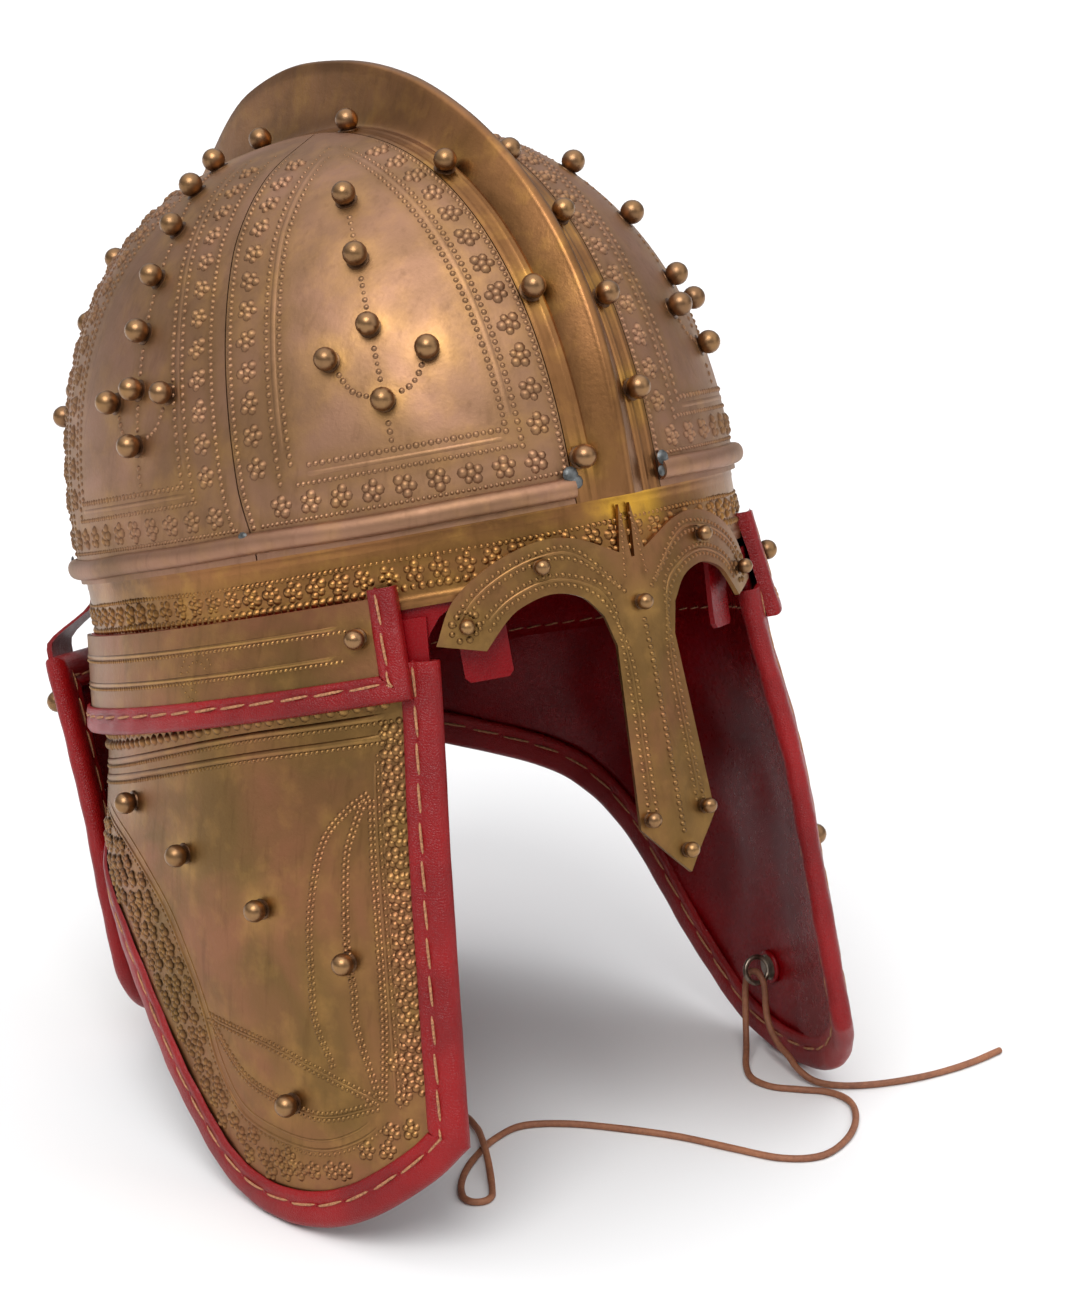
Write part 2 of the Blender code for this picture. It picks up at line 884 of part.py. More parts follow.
def build_panels():
    for side, hand in ((-1, "right"), (1, "left")):

        def place(along, up, out):
            return wrap(side * along, up, panel_base(up) + out)

        outline = [
            (panel_front, panel_bottom),
            (panel_back, panel_bottom),
            (panel_back, panel_top),
            (panel_front, panel_top),
        ]
        sheet(f"panel_backing_{hand}", outline, backing_wall, place, "leather_red")

        def on_backing(along, up, out):
            return place(along, up, backing_wall + gap + out)

        plate = sheet(f"panel_plate_{hand}", outline, plate_wall, on_backing, "brass")
        along, up = panel_stud
        spot = on_backing(along, up, plate_wall)
        normal = (on_backing(along, up, plate_wall + 0.01) - spot).normalized()
        solder_studs(plate, [(spot, normal)], stud_radius, plate_wall / 2)
        high = backing_wall + gap + plate_wall
        back_steps = round((panel_back - panel_front) / panel_edge_step)
        path = [(panel_front, panel_top), (panel_front, (panel_top + panel_bottom) / 2)]
        path += [
            (spaced(panel_front, panel_back, k / back_steps), panel_bottom)
            for k in range(back_steps + 1)
        ]
        section_points = binding_section(panel_border, 0.0, high, inner_flange=False)
        binding(f"panel_binding_{hand}", path, place, section_points, "leather_red")


# Cheek guards

# Shares of the guard's span from its front edge and of its depth from the plate's top
cheek_lower_edge = (
    (0.048, 0.873),
    (0.107, 0.928),
    (0.207, 0.985),
    (0.300, 1.000),
    (0.399, 0.972),
    (0.478, 0.905),
    (0.555, 0.776),
    (0.617, 0.630),
    (0.661, 0.515),
    (0.720, 0.410),
    (0.791, 0.335),
    (0.938, 0.248),
    (1.000, 0.224),
)
# Along the ring and down from it
cheek_studs = ((0.205, -0.0758), (0.173, -0.0926), (0.140, -0.1112), (0.111, -0.1300), (0.142, -0.1727))
cheek_edge_step = 0.0140
cheek_back = cheek_front + cheek_span
cheek_binding_top = panel_bottom - binding_wall - 3 * gap
cheek_lining_inner = sweatband_outer + gap
tie_down = cheek_plate_top - cheek_depth + tie_above_foot


def cheek_base(along, up):
    """How far outside the ring the lining's inner face lies."""
    opened = smooth((cheek_plate_top - up) / cheek_flare_run)
    swell = math.exp(-(((along - cheek_bulge_at) / cheek_bulge_run) ** 2))
    return cheek_lining_inner + (cheek_flare + cheek_bulge * swell) * opened


flare_rows = [cheek_plate_top - cheek_flare_run * k / 4 for k in range(5)]


def cheek_lower():
    points = [
        (cheek_front + cheek_span * a, cheek_plate_top - cheek_depth * d) for a, d in cheek_lower_edge
    ]
    return [tuple(p) for p in curve_through(points, cheek_edge_step)]


def cheek_outline(top):
    return [(cheek_front_top, top)] + cheek_lower() + [(cheek_back, top)]


def build_cheeks():
    for side, hand in ((-1, "right"), (1, "left")):

        def place(along, up, out):
            return wrap(side * along, up, cheek_base(along, up) + out)

        def on_lining(along, up, out):
            return place(along, up, lining_wall + gap + out)

        lining = cheek_outline(cheek_hang)
        sheet(f"cheek_lining_{hand}", lining, lining_wall, place, "leather_dark_red", rows=flare_rows)
        plate_name, pattern = f"cheek_plate_{hand}", cheek_outline(cheek_plate_top)
        plate = sheet(plate_name, pattern, plate_wall, on_lining, "brass", rows=flare_rows[1:])
        studs = []
        for along, up in cheek_studs:
            spot = on_lining(along, up, plate_wall)
            studs.append((spot, (on_lining(along, up, plate_wall + 0.01) - spot).normalized()))
        solder_studs(plate, studs, stud_radius, plate_wall / 2)
        high = lining_wall + gap + plate_wall
        lower = cheek_lower()
        front_foot = np.array(lower[0])
        front_head = np.array((cheek_front_top, cheek_plate_top))
        share = (cheek_binding_top - front_head[1]) / (front_foot[1] - front_head[1])
        front_start = front_head + (front_foot - front_head) * share
        front = [tuple(front_start + (front_foot - front_start) * k / 8) for k in range(8)]
        section_points = binding_section(cheek_border, 0.0, high, inner_flange=True)
        binding(f"cheek_binding_{hand}", front + lower, place, section_points, "leather_red")


# Neck guard

# Shares of the half span and of the depth, from the top corner down to the middle of the lower edge
neck_edge = (
    (1.00, 0.02),
    (0.99, 0.25),
    (0.985, 0.52),
    (0.965, 0.70),
    (0.88, 0.86),
    (0.70, 0.96),
    (0.40, 1.00),
    (0.00, 1.000),
)


neck_edge_step = 0.0150
neck_rows = (0.15, 0.30, 0.45, 0.65, 0.85)


def neck_base(sideways, up):
    share = abs(sideways) / neck_half_span
    down = (neck_top - up) / neck_depth
    corner = neck_corner_flare * share ** 4 * (1 - smooth(down / 0.45))
    foot = neck_foot_flare * smooth((down - 0.6) / 0.4)
    return neck_stand_off + neck_spread * share * share + corner + foot


def neck_place(sideways, up, out):
    """Sideways is + towards the wearer's left, from the middle of the guard."""
    return wrap(half_ring + neck_shift - sideways, up, neck_base(sideways, up) + out)


def build_neck_guard():
    right = [(neck_half_span * a, neck_top - neck_depth * d) for a, d in neck_edge]
    lower = [tuple(p) for p in curve_through(right, neck_edge_step)]
    edge = lower + [(-u, v) for u, v in lower[-2::-1]]
    outline = edge[::-1]
    rows = [neck_top - neck_depth * share for share in neck_rows]
    sheet("neck_lining", outline, lining_wall, neck_place, "leather_dark_red", rows=rows)

    def on_lining(sideways, up, out):
        return neck_place(sideways, up, lining_wall + gap + out)

    sheet("neck_plate", outline, plate_wall, on_lining, "brass", rows=rows)
    high = lining_wall + gap + plate_wall
    top_steps = 11
    start, end = outline[-1], outline[0]
    top_edge = [
        (spaced(start[0], end[0], k / top_steps), spaced(start[1], end[1], k / top_steps))
        for k in range(1, top_steps)
    ]
    path = outline + top_edge + [outline[0]]
    stations, ways = inward(path, 1)
    first = ways[0] + ways[-1]
    corner_way = first / np.linalg.norm(first)
    corner_way = corner_way / float(corner_way @ ways[0])
    ways = [corner_way] + ways[1:-1]
    stations = stations[:-1]
    section_points = binding_section(neck_border, 0.0, high, inner_flange=True)
    loops = [
        [neck_place(*(spot + way * depth), up) for depth, up in section_points]
        for spot, way in zip(stations, ways)
    ]
    loft("neck_binding", loops, "leather_red", closed=True)


strap_stations = 12


def build_neck_straps():
    top_of_neck = lining_wall + gap + plate_wall + binding_gap + binding_wall + gap
    strap_seat = neck_top + 2 * gap + binding_wall
    for side, hand in ((-1, "right"), (1, "left")):

        def base(sideways, up):
            at_rim = rim_outer + strap_gap
            on_guard = neck_base(sideways, min(up, neck_top)) + top_of_neck
            return spaced(at_rim, on_guard, smooth((strap_bend - up) / (strap_bend - strap_seat)))

        def place(sideways, up, out):
            middle = side * strap_along - neck_shift
            return wrap(
                half_ring + neck_shift - (middle + sideways), up, base(middle + sideways, up) + out
            )

        half = strap_width / 2
        loops = []
        for k in range(strap_stations + 1):
            up = spaced(strap_top, strap_bottom, k / strap_stations)
            corners = ((half, 0), (half, strap_wall), (-half, strap_wall), (-half, 0))
            loops.append([place(sideways, up, out) for sideways, out in corners])
        loft(f"neck_strap_{hand}", loops, "leather_red")
        stud_up = strap_bottom + strap_stud_rise
        spot = place(0, stud_up, strap_wall)
        normal = (place(0, stud_up, strap_wall + 0.01) - spot).normalized()
        bm = bmesh.new()
        add_stud(bm, spot + normal * gap, normal, stud_radius, 0)
        finish(f"neck_strap_stud_{hand}", bm, "brass")


# Hanging tabs and tie rings

def build_tabs():
    for side, hand in ((-1, "right"), (1, "left")):
        base = sweatband_inner - tab_gap - lining_wall

        def place(along, up, out):
            return wrap(side * along, up, base + out)

        half = tab_width / 2
        outline = [
            (tab_along - half, tab_top),
            (tab_along + half, tab_top),
            (tab_along + half, tab_bottom + tab_point),
            (tab_along, tab_bottom),
            (tab_along - half, tab_bottom + tab_point),
        ][::-1]
        sheet(f"hanging_tab_{hand}", outline, lining_wall, place, "leather_dark_red", step=tab_step)


def tie_frame(side):
    """A frame on the lining's inner face, its Z pointing inwards."""
    spot = wrap(side * tie_along, tie_down, cheek_base(tie_along, tie_down) - tie_gap)
    ahead = wrap(side * (tie_along + 0.001), tie_down, cheek_base(tie_along, tie_down) - tie_gap) - spot
    below = tie_down - 0.001
    down = wrap(side * tie_along, below, cheek_base(tie_along, below) - tie_gap) - spot
    normal = ahead.cross(down).normalized()
    if normal.dot(Vector((spot.x, spot.y, 0))) > 0:
        normal = -normal
    up = -down.normalized()
    sideways = up.cross(normal).normalized()
    frame = Matrix((sideways, up, normal)).transposed().to_4x4()
    frame.translation = spot
    return frame


def build_tie_rings():
    for side, hand in ((-1, "right"), (1, "left")):
        frame = tie_frame(side)
        bm = bmesh.new()
        bmesh.ops.create_cone(
            bm, cap_ends=True, segments=10, radius1=tie_base_radius, radius2=0.8 * tie_base_radius,
            depth=tie_base_height, matrix=frame @ Matrix.Translation((0, 0, tie_base_height / 2)),
        )
        made = finish(f"tie_ring_{hand}", bm, "brass_golden")
        ring = bmesh.new()
        around, sides = 12, 5
        centre = tie_ring_radius + tie_base_height / 2
        rings = []
        for k in range(around):
            a = 2 * math.pi * k / around
            spoke = Vector((0, math.cos(a), math.sin(a)))
            middle = Vector((0, 0, centre)) + spoke * tie_ring_radius
            rings.append([
                ring.verts.new(frame @ (
                    middle
                    + spoke * tie_wire * math.cos(2 * math.pi * n / sides)
                    + Vector((1, 0, 0)) * tie_wire * math.sin(2 * math.pi * n / sides)
                ))
                for n in range(sides)
            ])
        for a, b in zip(rings, rings[1:] + rings[:1]):
            for n in range(sides):
                m = (n + 1) % sides
                ring.faces.new((a[n], a[m], b[m], b[n]))
        tool = finish(made.name + "_wire", ring, "brass_golden")
        tool.hide_render = True
        tool.display_type = "WIRE"
        union = made.modifiers.new("wire", "BOOLEAN")
        union.operation = "UNION"
        union.object = tool


# Lace

def build_lace():
    """A round leather lace as a bevelled curve, with its stopper knot in front of the right ring."""
    dense = []
    for at in stretches(lace_route):
        count = max(1, round(float(np.linalg.norm(at(1.0) - at(0.0))) / lace_step))
        dense += [at(k / count) for k in range(count)]
    dense.append(np.array(lace_route[-1]))
    curve = bpy.data.curves.new("lace", "CURVE")
    curve.dimensions = "3D"
    curve.bevel_depth = lace_diameter / 2
    curve.bevel_resolution = 2
    curve.use_fill_caps = True
    spline = curve.splines.new("POLY")
    spline.points.add(len(dense) - 1)
    for place, spot in zip(spline.points, dense):
        place.co = (spot[0], spot[1], max(spot[2], lace_diameter / 2 + gap / 10), 1)
    lace = bpy.data.objects.new("lace", curve)
    lace.data.materials.append(material("lace_brown"))
    bpy.context.collection.objects.link(lace)
    frame = tie_frame(-1)
    ahead = -(tie_wire + gap + knot_radius)
    middle = Vector((ahead, 0, tie_ring_radius + tie_base_height / 2))
    bm = bmesh.new()
    bmesh.ops.create_icosphere(
        bm, subdivisions=2, radius=knot_radius, matrix=frame @ Matrix.Translation(middle)
    )
    finish("lace_knot", bm, "lace_brown")


# Standing it up

def lowest(names, lean):
    turned = Matrix.Rotation(-lean, 3, "X")
    return min((turned @ v.co).z for name in names for v in bpy.data.objects[name].data.vertices)


def stand_up():
    """Leans the helmet back until the cheek guards and the neck guard touch one level surface."""
    cheeks = ("cheek_binding_right", "cheek_binding_left")
    low, high = 0.0, math.radians(45)
    for _ in range(40):
        lean = (low + high) / 2
        if lowest(cheeks, lean) < lowest(("neck_binding",), lean):
            low = lean
        else:
            high = lean
    turned = Matrix.Rotation(-lean, 4, "X")
    pieces = [thing for thing in stand.children if not thing.hide_render]
    corners = [turned @ v.co for thing in pieces for v in thing.data.vertices]
    middle_y = (min(c.y for c in corners) + max(c.y for c in corners)) / 2
    middle_x = (min(c.x for c in corners) + max(c.x for c in corners)) / 2
    stand.rotation_euler = (-lean, 0, 0)
    stand.location = (-middle_x, -middle_y, -lowest(cheeks, lean))


build_gores()
build_ridge()
build_bead()
hoop("rim_band", rim_top, lambda along: rim_bottom, rim_outer, rim_inner, "brass_golden")
hoop("sweatband", rim_top, sweatband_bottom, sweatband_outer, sweatband_inner, "leather_dark_red")
build_nasal()
build_panels()
build_cheeks()
build_neck_guard()
build_neck_straps()
build_tabs()
build_tie_rings()
build_lace()
stand_up()
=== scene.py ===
import json
import math

import bmesh
import bpy
import numpy as np
from mathutils import Matrix, Vector
from mathutils.kdtree import KDTree

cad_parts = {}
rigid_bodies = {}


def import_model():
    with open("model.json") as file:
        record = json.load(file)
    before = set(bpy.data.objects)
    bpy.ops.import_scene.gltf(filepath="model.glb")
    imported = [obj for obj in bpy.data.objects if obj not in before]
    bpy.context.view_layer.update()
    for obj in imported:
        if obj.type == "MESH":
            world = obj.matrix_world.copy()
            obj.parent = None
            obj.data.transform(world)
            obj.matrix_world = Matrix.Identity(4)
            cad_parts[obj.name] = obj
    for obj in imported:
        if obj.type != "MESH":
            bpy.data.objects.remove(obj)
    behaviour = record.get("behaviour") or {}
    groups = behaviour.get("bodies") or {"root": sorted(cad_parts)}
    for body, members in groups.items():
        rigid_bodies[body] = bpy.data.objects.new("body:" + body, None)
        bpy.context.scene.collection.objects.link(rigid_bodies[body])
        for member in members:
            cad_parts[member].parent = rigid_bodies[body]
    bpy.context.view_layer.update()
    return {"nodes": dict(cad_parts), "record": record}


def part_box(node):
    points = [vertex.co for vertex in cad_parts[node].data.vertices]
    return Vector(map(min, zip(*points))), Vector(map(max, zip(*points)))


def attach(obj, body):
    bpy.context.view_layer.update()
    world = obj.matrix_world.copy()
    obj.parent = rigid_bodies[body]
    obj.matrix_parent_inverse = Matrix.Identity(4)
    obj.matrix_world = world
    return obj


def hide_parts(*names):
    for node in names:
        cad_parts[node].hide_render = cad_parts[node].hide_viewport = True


# A late Roman cavalry ridge helmet: embossed brass, red leather bindings and a leather tie lace
for old in list(bpy.data.objects):
    bpy.data.objects.remove(old, do_unlink=True)

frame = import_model()
print("frame loaded:", len(frame["nodes"]), "solids")

# Camera, floor and light

cameraPlace = {
    "at": (-0.6654, -0.9782, 0.5356),
    "aim": (0.5616, 0.7671, -0.3102),
    "focal": 3741,            # pixels of a picture that is 1290 pixels tall
    "tall": 1290,
}
studio = {
    "floorSize": 24.0,
    "floorTone": (0.80, 0.80, 0.79),
    "horizon": (0.30, 0.30, 0.32),
    "shoulder": (0.44, 0.44, 0.46),
    "zenith": (1.60, 1.60, 1.64),
    "backdrop": 1.0,
    "sun": 1.9,
    "sunSpread": math.radians(38),
    "sunWay": (0.50, 0.42, -0.84),
    "fill": 3.0,
}


def setStage():
    data = bpy.data.cameras.new("camera")
    data.sensor_width = 36
    data.lens = data.sensor_width * cameraPlace["focal"] / cameraPlace["tall"]
    data.clip_start, data.clip_end = 0.05, 60
    camera = bpy.data.objects.new("camera", data)
    camera.location = cameraPlace["at"]
    camera.rotation_mode = "QUATERNION"
    camera.rotation_quaternion = Vector(cameraPlace["aim"]).to_track_quat("-Z", "Y")
    bpy.context.scene.collection.objects.link(camera)
    bpy.context.scene.camera = camera
    bpy.context.scene.view_settings.view_transform = "Standard"

    bm = bmesh.new()
    bmesh.ops.create_grid(bm, x_segments=1, y_segments=1, size=studio["floorSize"] / 2)
    mesh = bpy.data.meshes.new("floor")
    bm.to_mesh(mesh)
    bm.free()
    floor = bpy.data.objects.new("floor", mesh)
    bpy.context.scene.collection.objects.link(floor)
    paper = bpy.data.materials.new("pale_floor")
    paper.use_nodes = True
    paper.node_tree.nodes["Principled BSDF"].inputs["Base Color"].default_value = (*studio["floorTone"], 1)
    paper.node_tree.nodes["Principled BSDF"].inputs["Roughness"].default_value = 0.8
    mesh.materials.append(paper)

    world = bpy.data.worlds.new("studio")
    bpy.context.scene.world = world
    world.use_nodes = True
    nodes, links = world.node_tree.nodes, world.node_tree.links
    nodes.clear()
    way = nodes.new("ShaderNodeTexCoord")
    split = nodes.new("ShaderNodeSeparateXYZ")
    ramp = nodes.new("ShaderNodeValToRGB")
    ramp.color_ramp.elements.new(0.35).color = (*studio["shoulder"], 1)
    ramp.color_ramp.elements[0].color = (*studio["horizon"], 1)
    ramp.color_ramp.elements[2].color = (*studio["zenith"], 1)
    seen = nodes.new("ShaderNodeLightPath")
    mix = nodes.new("ShaderNodeMix")
    mix.data_type = "RGBA"
    mix.inputs[7].default_value = (studio["backdrop"],) * 3 + (1,)
    glow = nodes.new("ShaderNodeBackground")
    out = nodes.new("ShaderNodeOutputWorld")
    links.new(way.outputs["Generated"], split.inputs[0])
    links.new(split.outputs["Z"], ramp.inputs[0])
    links.new(seen.outputs["Is Camera Ray"], mix.inputs[0])
    links.new(ramp.outputs[0], mix.inputs[6])
    links.new(mix.outputs[2], glow.inputs[0])
    links.new(glow.outputs[0], out.inputs[0])

    sun = bpy.data.lights.new("key", "SUN")
    sun.energy, sun.angle = studio["sun"], studio["sunSpread"]
    key = bpy.data.objects.new("key", sun)
    key.rotation_mode = "QUATERNION"
    key.rotation_quaternion = Vector(studio["sunWay"]).to_track_quat("-Z", "Y")
    bpy.context.scene.collection.objects.link(key)
    soft = bpy.data.lights.new("fill", "AREA")
    soft.energy, soft.size = studio["fill"], 1.2
    fill = bpy.data.objects.new("fill", soft)
    fill.location = (0.9, -1.5, 0.9)
    fill.rotation_mode = "QUATERNION"
    fill.rotation_quaternion = (Vector((0, 0, 0.15)) - fill.location).to_track_quat("-Z", "Y")
    bpy.context.scene.collection.objects.link(fill)


setStage()
print("camera, floor and light ready")

# Shader sums


class Wire:
    # A socket in a material's tree that can be used in sums
    def __init__(self, tree, socket):
        self.tree, self.socket = tree, socket

    def math(self, operation, *others, clamp=False):
        settings = {"operation": operation, "use_clamp": clamp}
        return addNode(self.tree, "ShaderNodeMath", settings, dict(enumerate((self, *others))))

    def __add__(self, other):
        return self.math("ADD", other)

    __radd__ = __add__

    def __sub__(self, other):
        return self.math("SUBTRACT", other)

    def __rsub__(self, other):
        return (self * -1) + other

    def __mul__(self, other):
        return self.math("MULTIPLY", other)

    __rmul__ = __mul__

    def between(self, low, high):   # 0 at low, 1 at high
        return ((self - low) * (1 / (high - low))).math("ADD", 0, clamp=True)


def addNode(tree, kind, settings, values, out=0):
    made = tree.nodes.new(kind)
    for key, value in settings.items():
        if key == "stops":
            for place, colour in value[2:]:
                made.color_ramp.elements.new(place)
            for stop, (place, colour) in zip(made.color_ramp.elements, sorted(value)):
                stop.position, stop.color = place, (*colour, 1)
        else:
            setattr(made, key, value)
    for key, value in values.items():
        if isinstance(value, Wire):
            tree.links.new(value.socket, made.inputs[key])
        elif isinstance(value, tuple) and len(value) == 3 and made.inputs[key].type == "RGBA":
            made.inputs[key].default_value = (*value, 1)
        else:
            made.inputs[key].default_value = value
    return Wire(tree, made.outputs[out])


def newFinish(name):
    made = bpy.data.materials.new(name)
    made.use_nodes = True
    tree = made.node_tree
    return made, tree, tree.nodes["Principled BSDF"]


def objectPlace(tree):
    return addNode(tree, "ShaderNodeTexCoord", {}, {}, out="Object")


def cloud(tree, place, scale, detail=3.0, roughness=0.5, distortion=0.0):
    values = {
        "Vector": place, "Scale": scale, "Detail": detail, "Roughness": roughness, "Distortion": distortion,
    }
    return addNode(tree, "ShaderNodeTexNoise", {}, values, out=0)


def stretched(tree, place, scale):
    return addNode(tree, "ShaderNodeMapping", {}, {"Vector": place, "Scale": scale})


def blend(tree, share, first, second):
    return addNode(tree, "ShaderNodeMix", {"data_type": "RGBA"}, {0: share, 6: first, 7: second}, out=2)


def mark(tree, name):
    settings = {"attribute_name": name}
    return addNode(tree, "ShaderNodeAttribute", settings, {}, out="Fac")


def bump(tree, height, distance, strength=1.0):
    values = {"Height": height, "Distance": distance, "Strength": strength}
    return addNode(tree, "ShaderNodeBump", {}, values)


def feed(tree, socket, wire):
    tree.links.new(wire.socket, socket)


# Brass, as base tones and how it wears, with painted shade round its relief and studs, and a painted
# highlight on the rim band

brassTones = {
    "brass": {
        "pink": (0.34, 0.185, 0.118), "brown": (0.245, 0.136, 0.074), "gold": (0.50, 0.28, 0.10),
        "dark": (0.080, 0.034, 0.015), "goldShare": 0.24, "roughness": 0.53,
    },
    "brass_golden": {
        "pink": (0.30, 0.140, 0.055), "brown": (0.19, 0.088, 0.032), "gold": (0.50, 0.26, 0.065),
        "dark": (0.070, 0.029, 0.009), "goldShare": 0.34, "roughness": 0.38,
    },
    "brass_plate": {
        "pink": (0.27, 0.118, 0.058), "brown": (0.185, 0.104, 0.038), "gold": (0.44, 0.245, 0.075),
        "dark": (0.055, 0.023, 0.009), "goldShare": 0.30, "roughness": 0.44,
    },
    "brass_rim": {
        "pink": (0.28, 0.125, 0.048), "brown": (0.165, 0.078, 0.028), "gold": (0.50, 0.27, 0.065),
        "dark": (0.060, 0.025, 0.008), "goldShare": 0.36, "roughness": 0.40,
    },
    "brass_stud": {
        "pink": (0.23, 0.128, 0.076), "brown": (0.17, 0.092, 0.050), "gold": (0.32, 0.18, 0.075),
        "dark": (0.052, 0.025, 0.012), "goldShare": 0.18, "roughness": 0.43,
    },
}
# The orange is a heat tint near the brow; the yellow is a painted highlight on the rim band's front middle
heatTintAndHighlightTones = {"orange": (0.48, 0.12, 0.026), "yellow": (0.70, 0.38, 0.05)}


def brassFinish(name):
    tone = brassTones[name]
    made, tree, shader = newFinish(name)
    place = objectPlace(tree)
    patches = cloud(tree, place, 22, 4, 0.55, 0.6)
    mottle = cloud(tree, place, 95, 5, 0.6)
    grain = cloud(tree, place, 900, 3, 0.6)
    streaks = cloud(tree, stretched(tree, place, (260, 260, 34)), 1.0, 3, 0.6)
    rub = mark(tree, "rub")
    crevice = mark(tree, "crevice")
    base = blend(tree, patches.between(0.38, 0.62), tone["pink"], tone["brown"])
    golden = (mottle.between(0.50, 0.72) * tone["goldShare"] + rub * (mottle.between(0.25, 0.7) * 0.6 + 0.4))
    golden = golden.math("ADD", 0, clamp=True)
    base = blend(tree, golden, base, tone["gold"])
    # Darker where dirt streaks run, and painted shade in the crevices round beads, ribs and stud feet
    dirtAndShade = (streaks.between(0.55, 0.80) * 0.28 + crevice * 0.75).math("ADD", 0, clamp=True)
    base = blend(tree, dirtAndShade, base, tone["dark"])
    base = blend(tree, mark(tree, "heat") * mottle.between(0.36, 0.60), base, heatTintAndHighlightTones["orange"])
    # A painted highlight: a bright yellow patch on the front middle of the rim band
    base = blend(tree, mark(tree, "bright") * mottle.between(0.30, 0.55), base, heatTintAndHighlightTones["yellow"])
    feed(tree, shader.inputs["Base Color"], base)
    shader.inputs["Metallic"].default_value = 1.0
    rough = patches * 0.16 + grain * 0.14 - rub * 0.12 + (tone["roughness"] - 0.15)
    feed(tree, shader.inputs["Roughness"], rough)
    height = mottle * 0.5 + grain * 0.16 + patches * 0.9
    feed(tree, shader.inputs["Normal"], bump(tree, height, 0.0006, 0.55))
    return made


# Leather, thread, lace and the small dark fittings

leatherTones = {
    "leather_red": {
        "main": (0.255, 0.0040, 0.0050), "deep": (0.150, 0.0018, 0.0026), "worn": (0.36, 0.030, 0.024),
        "roughness": 0.34, "grain": 0.00014, "gloss": 0.30,
    },
    "leather_dark_red": {
        "main": (0.200, 0.0014, 0.0036), "deep": (0.110, 0.0008, 0.0018), "worn": (0.24, 0.010, 0.012),
        "roughness": 0.27, "grain": 0.00004, "gloss": 0.24,
    },
}


def leatherFinish(name):
    tone = leatherTones[name]
    made, tree, shader = newFinish(name)
    place = objectPlace(tree)
    patches = cloud(tree, place, 34, 3)
    fine = cloud(tree, place, 420, 4, 0.6)
    creases = cloud(tree, stretched(tree, place, (70, 70, 22)), 1.0, 2, 0.5, 1.2)
    settings = {"feature": "DISTANCE_TO_EDGE"}
    pores = addNode(tree, "ShaderNodeTexVoronoi", settings, {"Vector": place, "Scale": 1300})
    rub = mark(tree, "rub")
    base = blend(tree, patches.between(0.35, 0.7), tone["main"], tone["deep"])
    base = blend(tree, rub * fine.between(0.35, 0.6) * 0.7, base, tone["worn"])
    feed(tree, shader.inputs["Base Color"], base)
    feed(tree, shader.inputs["Roughness"], fine * 0.16 + patches * 0.10 + (tone["roughness"] - 0.12))
    shader.inputs["Specular IOR Level"].default_value = tone["gloss"]
    height = pores.between(0, 0.22) * 0.35 + fine * 0.4 + creases * 1.6
    feed(tree, shader.inputs["Normal"], bump(tree, height, tone["grain"] * 4, 0.5))
    return made


threadTones = {"light": (0.46, 0.215, 0.095), "dark": (0.23, 0.090, 0.040), "roughness": 0.75}


def threadFinish():
    made, tree, shader = newFinish("thread")
    place = objectPlace(tree)
    twist = cloud(tree, place, 1500, 2)
    base = blend(tree, twist.between(0.35, 0.65), threadTones["dark"], threadTones["light"])
    feed(tree, shader.inputs["Base Color"], base)
    shader.inputs["Roughness"].default_value = threadTones["roughness"]
    feed(tree, shader.inputs["Normal"], bump(tree, twist, 0.0003, 0.6))
    return made


laceTones = {"light": (0.34, 0.135, 0.062), "dark": (0.16, 0.055, 0.026), "roughness": 0.64}


def laceFinish():
    made, tree, shader = newFinish("lace_brown")
    place = objectPlace(tree)
    patches = cloud(tree, place, 60, 3)
    fibre = cloud(tree, place, 700, 4, 0.65)
    worn = (patches * 0.7 + fibre * 0.5).between(0.42, 0.80)
    base = blend(tree, worn, laceTones["light"], laceTones["dark"])
    feed(tree, shader.inputs["Base Color"], base)
    feed(tree, shader.inputs["Roughness"], fibre * 0.2 + (laceTones["roughness"] - 0.1))
    feed(tree, shader.inputs["Normal"], bump(tree, fibre * 0.6 + patches, 0.0005, 0.6))
    return made


metalTones = {
    "solder": {"light": (0.19, 0.20, 0.20), "dark": (0.06, 0.062, 0.06), "roughness": 0.50},
    "dark_eyelet": {"light": (0.34, 0.28, 0.22), "dark": (0.10, 0.07, 0.05), "roughness": 0.38},
}


def metalFinish(name):
    tone = metalTones[name]
    made, tree, shader = newFinish(name)
    place = objectPlace(tree)
    spots = cloud(tree, place, 260, 4, 0.6)
    base = blend(tree, spots.between(0.35, 0.65), tone["light"], tone["dark"])
    feed(tree, shader.inputs["Base Color"], base)
    shader.inputs["Metallic"].default_value = 0.9
    feed(tree, shader.inputs["Roughness"], spots * 0.2 + (tone["roughness"] - 0.1))
    feed(tree, shader.inputs["Normal"], bump(tree, spots, 0.0005, 0.5))
    return made


finishes = {name: brassFinish(name) for name in brassTones}
finishes.update({name: leatherFinish(name) for name in leatherTones})
finishes.update({name: metalFinish(name) for name in metalTones})
finishes["thread"] = threadFinish()
finishes["lace_brown"] = laceFinish()
print("finishes ready:", ", ".join(finishes))

# How the helmet stands: the record's head seat gives its lean, and the rim band its middle

